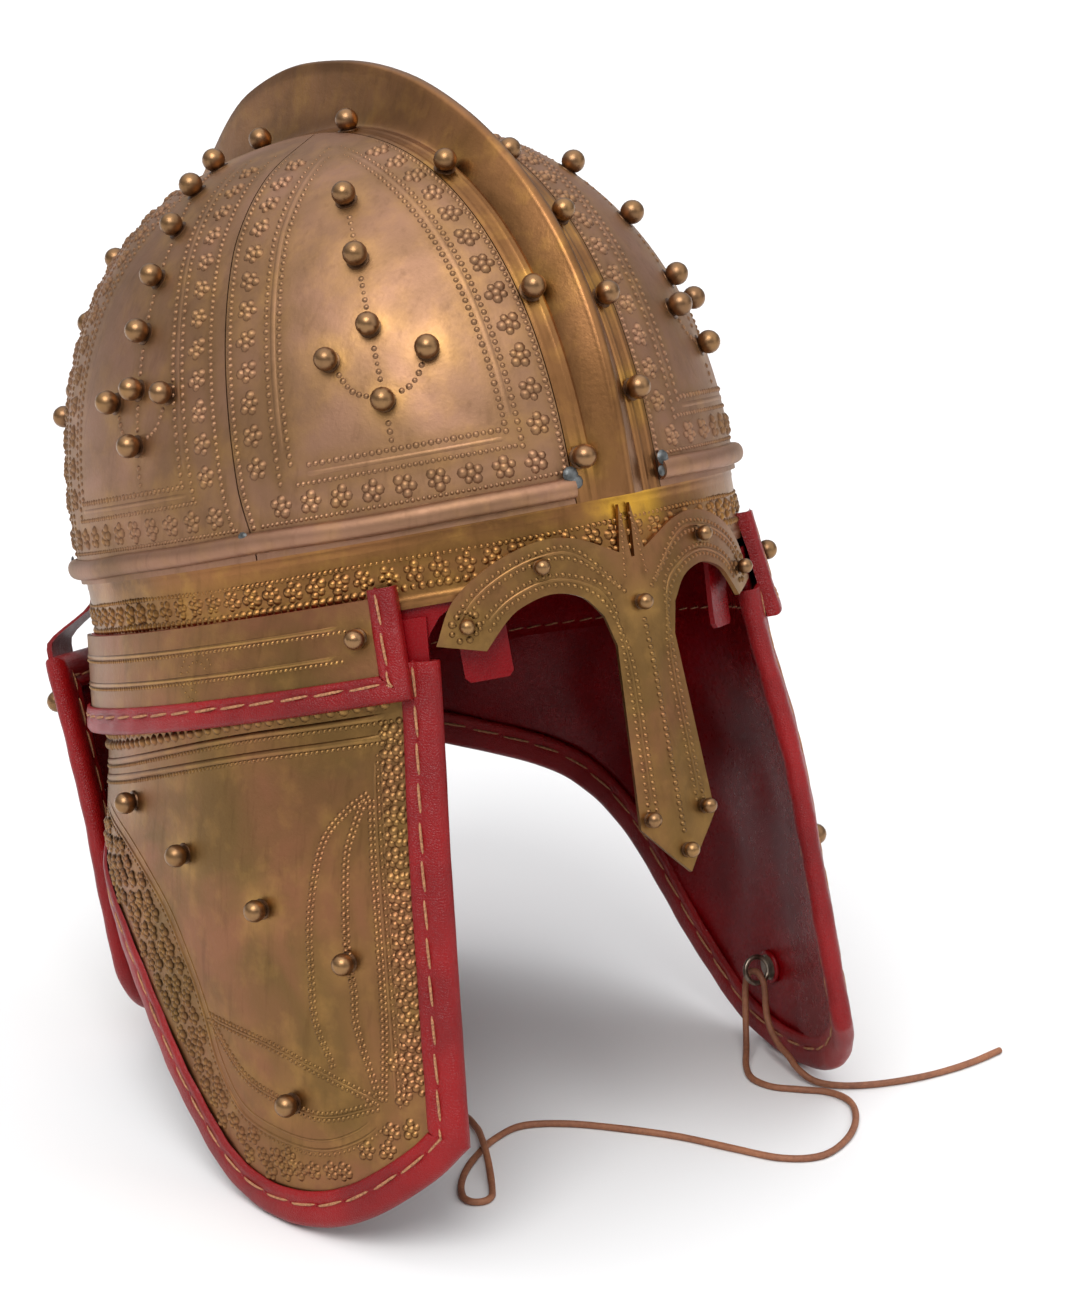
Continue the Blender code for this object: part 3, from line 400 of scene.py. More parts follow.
mm = 0.001
rimBand = {
    "top": -0.0005, "bottom": -0.027, "clearance": 0.0005, "wall": 0.0012,
    "columns": 200, "rows": 34,
    "ridges": ((-0.0046, 0.00050, 0.0007), (-0.0066, 0.00032, 0.0005), (-0.0247, 0.0004, 0.0008)),
    "fineLine": -0.0122, "rosetteLine": -0.0162, "scallopLine": -0.0208,
}
seat = next(m for m in frame["record"]["mounts"] if m["name"] == "head_seat")
upWay = -Vector(seat["axis"]).normalized()
lean = math.atan2(upWay.y, upWay.z)
bandLow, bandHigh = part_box("rim_band")
ringCentre = (bandLow + bandHigh) / 2 - upWay * (rimBand["top"] + rimBand["bottom"]) / 2
leanTurn = np.array(Matrix.Rotation(-lean, 3, "X"))


def toWorld(points):
    return np.asarray(points) @ leanTurn.T + np.array(ringCentre)


# Numbers and curves


def smooth(share):
    share = np.clip(share, 0, 1)
    return share * share * (3 - 2 * share)


def through(table, share):
    # The smooth value at this share through a table's rows, with no bulge between them
    places = np.array([row[0] for row in table])
    values = np.array([row[1] for row in table])
    steps = np.diff(places)
    slopes = np.diff(values) / steps
    both = slopes[1:] * slopes[:-1]
    inner = np.where(both > 0, 2 * both / np.where(both > 0, slopes[1:] + slopes[:-1], 1), 0)
    rates = np.concatenate([slopes[:1], inner, slopes[-1:]])
    share = np.clip(share, places[0], places[-1])
    low = np.clip(np.searchsorted(places, share, side="right") - 1, 0, len(places) - 2)
    t = (share - places[low]) / steps[low]
    ease = t * t * (3 - 2 * t)
    sway = rates[low] * t * (1 - t) ** 2 - rates[low + 1] * t * t * (1 - t)
    return values[low] * (1 - ease) + values[low + 1] * ease + sway * steps[low]


def spaced(low, high, share):
    return low + (high - low) * share


def unit(ways):
    return ways / np.maximum(np.linalg.norm(ways, axis=-1, keepdims=True), 1e-12)


def runOf(points):
    return np.concatenate([[0], np.cumsum(np.linalg.norm(np.diff(points, axis=0), axis=1))])


def readAt(marks, run, values):
    return np.stack([np.interp(marks, run, values[:, k]) for k in range(values.shape[1])], 1)


def densePath(points, count=24):
    # The smooth curve through these points
    points = [np.array(p, float) for p in points]
    chain = [2 * points[0] - points[1]] + points + [2 * points[-1] - points[-2]]
    dense = []
    for a, b, c, d in zip(chain, chain[1:], chain[2:], chain[3:]):
        for t in np.linspace(0, 1, count, endpoint=False):
            bend = (2 * a - 5 * b + 4 * c - d) * t * t + (3 * b - a - 3 * c + d) * t ** 3
            dense.append((2 * b + (c - a) * t + bend) / 2)
    return np.array(dense + [points[-1]])


def pathThrough(points, spacing):
    dense = densePath(points)
    run = runOf(dense)
    count = max(1, round(run[-1] / spacing))
    return readAt(np.linspace(0, run[-1], count + 1), run, dense)


# The head ring and the bowl, in the upright helmet's frame

helmet = {
    "ringHalfLength": 0.124, "ringHalfWidth": 0.1025,
    "bowlHeight": 0.127, "bowlFoot": -0.005, "apexBack": 0.008,
    "fullnessFront": 2.5, "fullnessSide": 2.2,
    "seamAngle": math.radians(62.5), "seamTopAngle": math.radians(83),
    "bandHalf": 0.016,
}
gap = 0.0003
turn = np.linspace(-2 * math.pi, 2 * math.pi, 2881)
speed = np.hypot(helmet["ringHalfWidth"] * np.cos(turn), helmet["ringHalfLength"] * np.sin(turn))
ringRun = np.concatenate([[0], np.cumsum((speed[1:] + speed[:-1]) / 2 * np.diff(turn))])
ringRun -= np.interp(0, turn, ringRun)
halfRing = float(np.interp(math.pi, turn, ringRun))


def wrap(along, up, out):
    # Length round the ring from the front, + to the wearer's left, height, and distance outside it
    along, up, out = np.broadcast_arrays(*(np.atleast_1d(np.asarray(a, float)) for a in (along, up, out)))
    angle = np.interp(along, ringRun, turn)
    wide, long = helmet["ringHalfWidth"], helmet["ringHalfLength"]
    nx, ny = long * np.sin(angle), -wide * np.cos(angle)
    size = np.hypot(nx, ny)
    return np.stack([wide * np.sin(angle) + out * nx / size, -long * np.cos(angle) + out * ny / size, up], -1)


def section(up):
    share = np.clip(up / helmet["bowlHeight"], 0, 1)
    side, front = helmet["fullnessSide"], helmet["fullnessFront"]
    wide = helmet["ringHalfWidth"] * (1 - share ** side) ** (1 / side)
    long = helmet["ringHalfLength"] * (1 - share ** front) ** (1 / front)
    return np.maximum(wide, 1e-9), np.maximum(long, 1e-9), helmet["apexBack"] * share * share


def meet(starts, ways):
    low, high = np.zeros(len(ways)), np.full(len(ways), 0.3)
    for _ in range(36):
        middle = (low + high) / 2
        spots = starts + ways * middle[:, None]
        wide, long, centre = section(spots[:, 2])
        within = (spots[:, 0] / wide) ** 2 + ((spots[:, 1] - centre) / long) ** 2 < 1
        within &= spots[:, 2] < helmet["bowlHeight"]
        low, high = np.where(within, middle, low), np.where(within, high, middle)
    return starts + ways * low[:, None]


def onBowl(points):
    # The nearest spots of the bowl's outer face as seen from its heart, and the outward ways there
    points = np.asarray(points, float)
    heart = np.zeros(3)
    spots = meet(heart, unit(points))
    across = np.where(np.abs(unit(points)[:, 2:]) < 0.9, np.array([[0, 0, 1.0]]), np.array([[0, 1.0, 0]]))
    first = unit(np.cross(points, across)) * mm
    second = unit(np.cross(points, first)) * mm
    corners = [meet(heart, unit(points + step)) for step in (first, -first, second, -second)]
    ups = unit(np.cross(corners[0] - corners[1], corners[2] - corners[3]))
    ups *= np.sign(np.sum(ups * spots, 1))[:, None]
    angle = np.arctan2(points[:, 0] / helmet["ringHalfWidth"], -points[:, 1] / helmet["ringHalfLength"])
    along = np.interp(angle, turn, ringRun)
    low = points[:, 2:] <= 0
    level = wrap(along, points[:, 2], 0)
    return np.where(low, level, spots), np.where(low, wrap(along, points[:, 2], 1) - level, ups)


def bowlAt(angle, up):
    wide, long, centre = section(up)
    return np.stack([wide * np.sin(angle), centre - long * np.cos(angle), up + 0 * angle], -1)


def ridgeLine(x, angle):
    x, angle = (np.atleast_1d(np.asarray(a, float)) for a in (x, angle))
    x, angle = np.broadcast_arrays(x, angle)
    starts = np.stack([x, 0 * x, 0 * x], -1)
    return meet(starts, np.stack([0 * angle, -np.cos(angle), np.sin(angle)], -1))


# Meshes


def makeGrid(columns, rows, thick=False):
    # A unit grid, its place in it for each corner, and 0 or 1 for the far side of a thick one
    bm = bmesh.new()
    bmesh.ops.create_grid(bm, x_segments=columns, y_segments=rows, size=0.5)
    if thick:
        far = bmesh.ops.extrude_face_region(bm, geom=bm.faces[:])["geom"]
        for thing in far:
            if isinstance(thing, bmesh.types.BMVert):
                thing.co.z = 1
    places = np.array([v.co for v in bm.verts])
    return bm, places[:, 0] + 0.5, places[:, 1] + 0.5, places[:, 2]


def moveCorners(bm, spots):
    for corner, spot in zip(bm.verts, spots.tolist()):
        corner.co = spot


def cutSheet(outline, step, thickness):
    # A flat pattern cut into small squares and given its thickness
    bm = bmesh.new()
    bm.faces.new([bm.verts.new((float(u), float(v), 0)) for u, v in outline])
    for axis in (0, 1):
        low, high = min(p[axis] for p in outline), max(p[axis] for p in outline)
        count = max(1, math.ceil((high - low) / step))
        way = Vector((1 - axis, axis, 0))
        for k in range(1, count):
            spot = way * float(low + (high - low) * (k - 0.03) / count)
            geometry = bm.verts[:] + bm.edges[:] + bm.faces[:]
            bmesh.ops.bisect_plane(bm, geom=geometry, dist=1e-6, plane_co=spot, plane_no=way)
    for thing in bmesh.ops.extrude_face_region(bm, geom=bm.faces[:])["geom"]:
        if isinstance(thing, bmesh.types.BMVert):
            thing.co.z = thickness
    return bm


def bendSheet(bm, place):
    chart = np.array([v.co for v in bm.verts])
    moveCorners(bm, place(chart[:, 0], chart[:, 1], chart[:, 2]))
    return bm


def sweepGrid(spots, closedPath=False):
    # A tube through rows of spots (stations, loop, 3). An open one gets flat ends
    stations, sides = spots.shape[:2]
    columns = stations if closedPath else stations - 1
    bm, across, around, _ = makeGrid(columns, sides)
    i = np.rint(across * columns).astype(int) % stations
    j = np.rint(around * sides).astype(int) % sides
    moveCorners(bm, spots[i, j])
    bmesh.ops.remove_doubles(bm, verts=bm.verts[:], dist=1e-7)
    if not closedPath:
        bmesh.ops.holes_fill(bm, edges=[e for e in bm.edges if e.is_boundary])
    return bm


def dress(mesh, name, look, nodes, sharp):
    mesh.materials.append(finishes[look])
    mesh.shade_smooth()
    mesh.set_sharp_from_angle(angle=math.radians(sharp))
    made = bpy.data.objects.new(name, mesh)
    bpy.context.scene.collection.objects.link(made)
    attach(made, "root")
    if nodes:
        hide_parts(*nodes)
    return made


def markMesh(mesh, name, values):
    layer = mesh.attributes.new(name, "FLOAT", "POINT")
    layer.data.foreach_set("value", np.asarray(values, np.float32))


def nearMarks(points, spots, reach):
    # 1 at a spot, falling off within this reach
    if not len(spots):
        return np.zeros(len(points))
    tree = KDTree(len(spots))
    for k, spot in enumerate(spots):
        tree.insert(spot, k)
    tree.balance()
    apart = np.array([tree.find(p)[2] for p in points])
    return np.exp(-((apart / reach) ** 2))


def finishPiece(name, bm, look, nodes=(), sharp=38, studs=(), relief=(), tints=()):
    bmesh.ops.remove_doubles(bm, verts=bm.verts[:], dist=1e-6)
    bmesh.ops.recalc_face_normals(bm, faces=bm.faces[:])
    if bm.calc_volume(signed=True) < 0:
        bmesh.ops.reverse_faces(bm, faces=bm.faces[:])
    mesh = bpy.data.meshes.new(name)
    bm.to_mesh(mesh)
    bm.free()
    upright = np.array([v.co for v in mesh.vertices])
    if len(studs) or len(relief):
        rub = np.maximum(nearMarks(upright, studs, 0.0072), 0.40 * nearMarks(upright, relief, 0.0034))
        markMesh(mesh, "rub", rub)
        # Painted shade: a darker ring round the feet of the relief and the studs
        paintedShade = 0.42 * nearMarks(upright, relief, 0.0022)
        paintedShade = np.maximum(paintedShade, 0.55 * nearMarks(upright, studs, 0.0044))
        markMesh(mesh, "crevice", paintedShade)
    for tint, spots, reach in tints:
        markMesh(mesh, tint, nearMarks(upright, spots, reach))
    mesh.vertices.foreach_set("co", toWorld(upright).astype(np.float32).ravel())
    mesh.update()
    return dress(mesh, name, look, nodes, sharp)


def template(bm):
    # A small closed shape as arrays, for copying many times
    bmesh.ops.remove_doubles(bm, verts=bm.verts[:], dist=1e-6)
    holes = [e for e in bm.edges if e.is_boundary]
    if holes:
        bmesh.ops.holes_fill(bm, edges=holes)
    bmesh.ops.recalc_face_normals(bm, faces=bm.faces[:])
    bm.verts.index_update()
    points = np.array([v.co for v in bm.verts])
    faces = [[v.index for v in face.verts] for face in bm.faces]
    bm.free()
    return points, faces


def turned(profile, sides):
    # A profile of (distance from the axis, height) spun round Z
    bm = bmesh.new()
    corners = [bm.verts.new((x, 0, z)) for x, z in profile]
    edges = [bm.edges.new(pair) for pair in zip(corners, corners[1:])]
    bmesh.ops.spin(
        bm, geom=corners + edges, cent=(0, 0, 0), axis=(0, 0, 1), angle=2 * math.pi, steps=sides,
        use_merge=True,
    )
    return template(bm)


class Heap:
    # Many small shapes gathered into one mesh
    def __init__(self, shine=1.0):
        self.points, self.faces, self.rubs, self.crevices, self.count = [], [], [], [], 0
        self.shine = shine

    def add(self, points, faces, rubs, crevices):
        self.points.append(points)
        self.faces += [[k + self.count for k in face] for face in faces]
        self.rubs.append(rubs * self.shine)
        self.crevices.append(crevices)
        self.count += len(points)

    def scatter(self, shape, spots, ups, heads, sizes, lift=0.0):
        points, faces = shape
        share = points[:, 2] / points[:, 2].max()
        ups, heads = unit(ups), unit(heads - ups * np.sum(heads * ups, 1)[:, None])
        sides = np.cross(ups, heads)
        sizes = np.broadcast_to(np.asarray(sizes, float), (len(spots),))
        for spot, up, head, side, size in zip(spots, ups, heads, sides, sizes):
            moved = (points[:, :1] * head + points[:, 1:2] * side + points[:, 2:] * up) * size
            # Each shape is more rubbed at its top, and painted shade darkens its foot
            self.add(spot + up * lift + moved, faces, 0.15 + 0.75 * share, 0.8 * (1 - share) ** 2)

    def rib(self, spots, ups, width, height, taper=0.06):
        # A low rounded rib along a line on a surface
        heads = unit(np.gradient(spots, axis=0))
        sides = np.cross(unit(ups), heads)
        arc = np.linspace(0, math.pi, 5)
        ends = np.linspace(0, 1, len(spots))
        grow = smooth(np.minimum(ends, 1 - ends) / taper)[:, None]
        loop_ = []
        for a in arc:
            rise = math.sin(a) * height * grow - 0.0001
            loop_.append(spots + sides * math.cos(a) * width / 2 + ups * rise)
        rows = np.stack(loop_, 1)
        points, faces = template(sweepGrid(rows))
        apart = ((points[:, None] - rows.reshape(-1, 3)) ** 2).sum(2)
        swell = np.sin(arc)[apart.argmin(1) % len(arc)]
        # The rib is more rubbed along its crown, and painted shade darkens its edges
        self.add(points, faces, swell * 0.8, 0.6 * (1 - swell))

    def finish(self, name, look, slot, nodes=(), sharp=50):
        if not self.count:
            return None
        upright = np.concatenate(self.points)
        mesh = bpy.data.meshes.new(name)
        mesh.from_pydata(toWorld(upright).tolist(), [], self.faces)
        markMesh(mesh, "rub", np.concatenate(self.rubs))
        markMesh(mesh, "crevice", np.concatenate(self.crevices))
        mesh.update()
        return dress(mesh, name, look, nodes, sharp)


# Small shapes that repeat

beadShape = turned(((1.50, -0.16), (1.24, 0.04), (0.94, 0.30), (0.52, 0.64), (0.0, 0.76)), 8)
studProfile = {
    "foot": ((0.98, -0.12), (0.94, 0.03), (0.70, 0.10), (0.62, 0.14)),
    "centre": 0.84, "from": math.radians(-50), "rings": 9, "sides": 16,
}


def studShape():
    arc = np.linspace(studProfile["from"], math.pi / 2, studProfile["rings"])
    ball = [(math.cos(a), studProfile["centre"] + math.sin(a)) for a in arc[:-1]]
    top = ((0.0, studProfile["centre"] + 1),)
    return turned(studProfile["foot"] + tuple(ball) + top, studProfile["sides"])


ballStud = studShape()
studRadius, smallStudRadius = 0.0038, 0.0025


def placeNormals(place, u, v, w):
    low = place(u, v, w)
    return low, unit(place(u, v, w + mm) - low)


def followLine(place, chart, spacing, height=0.0):
    # Spots at an even spacing along a line in a sheet's own chart, with the ways out and onward
    chart = np.asarray(chart, float)
    level = np.full(len(chart), height)
    spots, ups = placeNormals(place, chart[:, 0], chart[:, 1], level)
    run = runOf(spots)
    count = max(1, round(run[-1] / spacing))
    marks = (np.arange(count) + 0.5) * run[-1] / count
    onward = readAt(marks, run, np.gradient(spots, axis=0))
    return readAt(marks, run, spots), unit(readAt(marks, run, ups)), onward


def ribLine(heap, place, chart, width, height, level=0.0, step=0.0025):
    spots, ups, _ = followLine(place, chart, step, level)
    if len(spots) > 2:
        heap.rib(spots, ups, width, height)
    return spots


def beadLine(heap, place, chart, spacing, size, level=0.0, fade=0.0):
    spots, ups, heads = followLine(place, chart, spacing, level)
    sizes = np.full(len(spots), size)
    if fade:
        sizes *= 1 - 0.6 * smooth((np.linspace(0, 1, len(spots)) - 1 + fade) / fade)
    sizes *= 1 + 0.12 * np.sin(np.arange(len(spots)) * 2.4)
    heap.scatter(beadShape, spots, ups, heads, sizes)
    return spots


def rosettesAt(heap, spots, ups, heads, radius, bumpSize, petals=5):
    ups = unit(ups)
    heads = unit(heads - ups * np.sum(heads * ups, 1)[:, None])
    sides = np.cross(ups, heads)
    for k in range(len(spots)):
        start = 0.9 * math.sin(k * 1.7)
        angles = start + np.arange(petals) * 2 * math.pi / petals
        reach = radius * (1 + 0.10 * np.sin(angles * 2 + k))
        ring = spots[k] + heads[k] * (np.cos(angles) * reach)[:, None]
        ring = ring + sides[k] * (np.sin(angles) * reach)[:, None]
        places = np.concatenate([ring, spots[k][None]])
        sizes = bumpSize * np.concatenate([1 + 0.16 * np.sin(angles * 3 + k), [1.12]])
        count = len(places)
        heap.scatter(beadShape, places, np.tile(ups[k], (count, 1)), np.tile(heads[k], (count, 1)), sizes)


def rosetteLine(heap, place, chart, spacing, radius, bumpSize, level=0.0, petals=5):
    spots, ups, heads = followLine(place, chart, spacing, level)
    rosettesAt(heap, spots, ups, heads, radius, bumpSize, petals)
    return spots


def studsAt(heap, spots, ups, radius):
    heads = np.cross(ups, np.array([[0.3, 0.2, 0.93]]))
    count = len(spots)
    sizes = radius * (1 + 0.025 * np.sin(np.arange(count) * 1.9))
    heap.scatter(ballStud, spots, ups, heads, sizes)


# Gores

gores = {
    "wall": 0.0012, "cornerColumns": 44, "middleColumns": 70, "rows": 58,
    "seamPath": (
        (0.00, 1.000), (0.15, 1.020), (0.45, 1.023), (0.71, 1.017), (0.81, 0.996), (0.89, 0.958),
        (0.93, 0.912), (0.96, 0.847), (1.00, 0.749),
    ),
    "upperLine": 0.0210, "lowerLine": 0.0155, "rosetteLine": 0.0098, "fineLine": 0.0050,
    "edgeBeads": 0.0016, "edgeRosettes": 0.0074, "outerLine": 0.0140, "innerLine": 0.0182,
    "middlePlain": 0.0046, "top": 0.80, "beadSpacing": 0.0025, "beadSize": 0.00074,
    "rosetteSpacing": 0.0104, "rosetteRadius": 0.0023, "rosetteBump": 0.00118,
}
# Angle from the nearest end of the head, in degrees, and height of each stud
cornerStuds = ((37.5, 0.0985), (37.5, 0.0795), (37.5, 0.0583), (45.2, 0.0503), (28.7, 0.0485), (37.2, 0.0357))
sideStuds = (
    (96, 0.1205), (88, 0.1130), (83.5, 0.1012), (83.2, 0.0865), (83.5, 0.0702), (83.8, 0.0530),
    (76.3, 0.0500), (90.5, 0.0504), (84.4, 0.0359),
)
footAngle = math.asin(helmet["bowlFoot"] / helmet["ringHalfLength"])


def bandEdge(side, angle):
    return ridgeLine(side * helmet["bandHalf"], angle)


def seamPoint(side, back, share):
    topAngle = helmet["seamTopAngle"]
    top = bandEdge(side, math.pi - topAngle if back else topAngle)[0]
    foot = helmet["bowlFoot"]
    up = foot + (top[2] - foot) * np.sin(share * math.pi / 2)
    rise = np.maximum(0, up / top[2])

    def onSection(kept, height):
        angle = helmet["seamAngle"] * kept
        return bowlAt(side * (math.pi - angle if back else angle), height)

    spots = onSection(through(gores["seamPath"], rise), up)
    last = onSection(np.array([gores["seamPath"][-1][1]]), np.array([top[2]]))[0]
    return onBowl(spots + (top - last) * smooth((rise - 0.55) / 0.45)[:, None])[0]


def seamShare(height):
    # The share of the way up a seam at this height
    topAngle = helmet["seamTopAngle"]
    top = bandEdge(1, topAngle)[0][2]
    share = np.clip((height - helmet["bowlFoot"]) / (top - helmet["bowlFoot"]), 0, 1)
    return np.arcsin(share) * 2 / math.pi


def gorePlace(side, which):
    # A place function over one gore's patch: u from the band or front seam, v from foot to head
    seamAngle, topAngle = helmet["seamAngle"], helmet["seamTopAngle"]
    bandAngle = math.asin(helmet["bandHalf"] / helmet["ringHalfWidth"])
    back = which == "rear"

    if which == "middle":
        def foot(u):
            spots = bowlAt(spaced(seamAngle, math.pi - seamAngle, u), np.full(len(u), helmet["bowlFoot"]))
            return spots * np.array([side, 1, 1])

        def head(u):
            return bandEdge(side, spaced(topAngle, math.pi - topAngle, u))

        def left(v):
            return seamPoint(side, False, v)

        def right(v):
            return seamPoint(side, True, v)
    else:
        def foot(u):
            spots = bowlAt(spaced(bandAngle, seamAngle, u), np.full(len(u), helmet["bowlFoot"]))
            return spots * np.array([side, -1 if back else 1, 1])

        def head(u):
            return bandEdge(side, np.full(len(u), math.pi - topAngle if back else topAngle))

        def left(v):
            start = math.pi - footAngle if back else footAngle
            return bandEdge(side, spaced(start, math.pi - topAngle if back else topAngle, v))

        def right(v):
            return seamPoint(side, back, v)

    zero, one = np.zeros(1), np.ones(1)
    corners = foot(zero)[0], foot(one)[0], head(zero)[0], head(one)[0]

    def patch(u, v):
        a, b = u[:, None], v[:, None]
        across = left(v) * (1 - a) + right(v) * a
        upward = foot(u) * (1 - b) + head(u) * b
        flat = (corners[0] * (1 - a) + corners[1] * a) * (1 - b) + (corners[2] * (1 - a) + corners[3] * a) * b
        return across + upward - flat

    def place(u, v, w):
        spots, ups = onBowl(patch(np.asarray(u, float), np.asarray(v, float)))
        return spots + ups * np.asarray(w)[:, None]

    def width(v):
        return np.linalg.norm(left(v) - right(v), axis=1)

    return place, width


def bowlPlace(side, back):
    # A place function over the bowl: angle from the nearest end of the head, and height
    def place(angle, up, w):
        angle, up = np.asarray(angle, float), np.asarray(up, float)
        spots, ups = onBowl(bowlAt(side * (math.pi - angle if back else angle), up))
        return spots + ups * np.asarray(w)[:, None]

    return place


def edgeLines(heap, place, width, fromRight, start, marks):
    # The rows that follow a long edge of a gore: beads, rosettes, and a double line of beads with its rib
    def chart(distance, low, high):
        v = np.linspace(float(seamShare(low)), high, 70)
        share = distance / width(v)
        keep = share < 0.47
        return np.stack([1 - share if fromRight else share, v], 1)[keep]

    size, step = gores["beadSize"], gores["beadSpacing"]
    top = gores["top"]
    marks.append(beadLine(heap, place, chart(start + gores["edgeBeads"], 0.004, top), 0.0021, size, fade=0.2))
    rosettes = chart(start + gores["edgeRosettes"], gores["lowerLine"] + 0.002, top - 0.03)
    marks.append(rosetteLine(
        heap, place, rosettes, gores["rosetteSpacing"], gores["rosetteRadius"], gores["rosetteBump"]
    ))
    outer = chart(start + gores["outerLine"], gores["lowerLine"], top)
    inner = chart(start + gores["innerLine"], gores["upperLine"], top - 0.03)
    marks.append(beadLine(heap, place, outer, step, size, fade=0.25))
    marks.append(beadLine(heap, place, inner, step, size, fade=0.25))
    between = chart(start + (gores["outerLine"] + gores["innerLine"]) / 2, gores["upperLine"], top)
    ribLine(heap, place, between, 0.0022, 0.00020)


def footLines(heap, place, low, high, marks):
    # The rows along a gore's foot, between two angles
    def chart(height, inset):
        return np.stack([np.linspace(low + inset, high - inset, 60), np.full(60, height)], 1)

    inset = 0.013 / helmet["ringHalfWidth"]
    size = gores["beadSize"]
    marks.append(beadLine(heap, place, chart(gores["upperLine"], inset * 1.35), 0.0023, size))
    marks.append(beadLine(heap, place, chart(gores["lowerLine"], inset * 1.05), 0.0018, size * 0.8))
    middle = (gores["upperLine"] + gores["lowerLine"]) / 2
    ribLine(heap, place, chart(middle, inset * 1.2), 0.0018, 0.00034)
    marks.append(rosetteLine(
        heap, place, chart(gores["rosetteLine"], 0.04), gores["rosetteSpacing"],
        gores["rosetteRadius"], gores["rosetteBump"]
    ))
    marks.append(beadLine(heap, place, chart(gores["fineLine"], 0.01), 0.0017, size * 0.72))


def anchorFigure(heap, place, spots, left, right, foot, marks):
    # Dotted lines that join the studs: down the middle, two hanging arms, and on down to the foot rows
    def dotted(points):
        chart = pathThrough(points, 0.02 if abs(points[0][0]) > 0.5 else 0.01)
        marks.append(beadLine(heap, place, chart, gores["beadSpacing"], gores["beadSize"] * 1.05))

    middle = [np.array(p) for p in spots]
    for a, b in zip(middle, middle[1:]):
        dotted([a + (b - a) * 0.24, (a + b) / 2, a + (b - a) * 0.76])
    end = middle[-1]
    for arm in (np.array(left), np.array(right)):
        sag = np.array([0.62 * arm[0] + 0.38 * end[0], 0.30 * arm[1] + 0.70 * end[1]])
        dotted([arm + (sag - arm) * 0.35, sag, end + (sag - end) * 0.45])
    dotted([end + np.array([0, -0.0055]), np.array([end[0], foot + 0.0015])])


def buildGores():
    studs = Heap()
    for side, hand in ((-1, "right"), (1, "left")):
        for which in ("front", "rear", "middle"):
            back = which == "rear"
            place, width = gorePlace(side, which)
            ground = bowlPlace(side, back)
            marks, relief = [], Heap(shine=0.30)
            table = sideStuds if which == "middle" else cornerStuds
            chart = [(math.radians(a), up) for a, up in table]
            if which == "middle":
                edgeLines(relief, place, width, False, gores["middlePlain"], marks)
                edgeLines(relief, place, width, True, gores["middlePlain"], marks)
                edge = helmet["seamAngle"] + 0.03
                footLines(relief, ground, edge, math.pi - edge, marks)
                middle = chart[:6] + [chart[8]]
                anchorFigure(relief, ground, middle, chart[6], chart[7], gores["upperLine"], marks)
            else:
                edgeLines(relief, place, width, True, 0.0, marks)
                edgeLines(relief, place, width, False, 0.0, marks)
                bandAngle = math.asin(helmet["bandHalf"] / helmet["ringHalfWidth"])
                footLines(relief, ground, bandAngle + 0.01, helmet["seamAngle"] - 0.02, marks)
                middle = chart[:3] + [chart[5]]
                anchorFigure(relief, ground, middle, chart[4], chart[3], gores["upperLine"], marks)
            angles, heights = np.array([c[0] for c in chart]), np.array([c[1] for c in chart])
            spots, ups = placeNormals(ground, angles, heights, np.zeros(len(chart)))
            studsAt(studs, spots, ups, studRadius)
            columns = gores["middleColumns"] if which == "middle" else gores["cornerColumns"]
            bm, u, v, far = makeGrid(columns, gores["rows"], thick=True)
            inset = np.clip(0.00022 / np.maximum(width(v), 1e-4), 0, 0.5)
            moveCorners(bm, place(inset + u * (1 - 2 * inset), v, -gores["wall"] * far))
            name = f"gore_{which}_{hand}"
            finishPiece(name, bm, "brass", [name], studs=spots, relief=np.concatenate(marks))
            relief.finish(name + "_relief", "brass", "brass")
    studs.finish("gore_studs", "brass_stud", "brass")


buildGores()
print("gores ready")

# Ridge band

ridge = {
    "height": 0.023, "keelFoot": 0.0085, "keelTop": 0.0018, "wall": 0.0012, "columns": 120,
    "profile": (
        (0.00, 0.20), (0.14, 0.35), (0.24, 0.40), (0.32, 0.52), (0.39, 0.70), (0.47, 0.89),
        (0.54, 1.00), (0.60, 0.94), (0.68, 0.60), (0.78, 0.38), (1.00, 0.20),
    ),
    "hollow": ((0.00, 0.85), (0.26, 0.95), (0.36, 1.5), (0.47, 2.1), (0.60, 2.1), (0.75, 1.2), (1.00, 0.9)),
    "leftRow": (
        (0.00, 0.0122), (0.30, 0.0118), (0.40, 0.0095), (0.48, 0.0046), (0.62, 0.0046),
        (0.74, 0.0100), (1.00, 0.0122),
    ),
    "rightRow": 0.0122,
    "right": (math.radians(4), math.radians(24.2), 7),
    "left": (math.radians(12), math.radians(13.6), 12),
    "grooves": ((0.0146, 0.00020), (0.0106, 0.00030), (0.0094, 0.00030)),
}


def ridgeRise(x, angle):
    # Height above the bowl at this distance from the middle
    tall = ridge["height"] * through(ridge["profile"], angle / math.pi)
    share = np.clip((ridge["keelFoot"] - np.abs(x)) / (ridge["keelFoot"] - ridge["keelTop"]), 0, 1)
    power = through(ridge["hollow"], angle / math.pi)
    crest = 0.0009 * np.sqrt(np.clip(1 - (np.abs(x) / ridge["keelTop"]) ** 2, 0, 1))
    lines = sum(h * np.exp(-(((np.abs(x) - at) / 0.00045) ** 2)) for at, h in ridge["grooves"])
    front = 1 - smooth((angle / math.pi - 0.36) / 0.12)
    return tall * share ** power + crest + lines * (0.35 + 0.65 * front)


def ridgePlace(x, angle, w):
    spots = ridgeLine(x, angle)
    ups = onBowl(spots)[1]
    return spots + ups * (ridgeRise(x, angle) + w)[:, None]


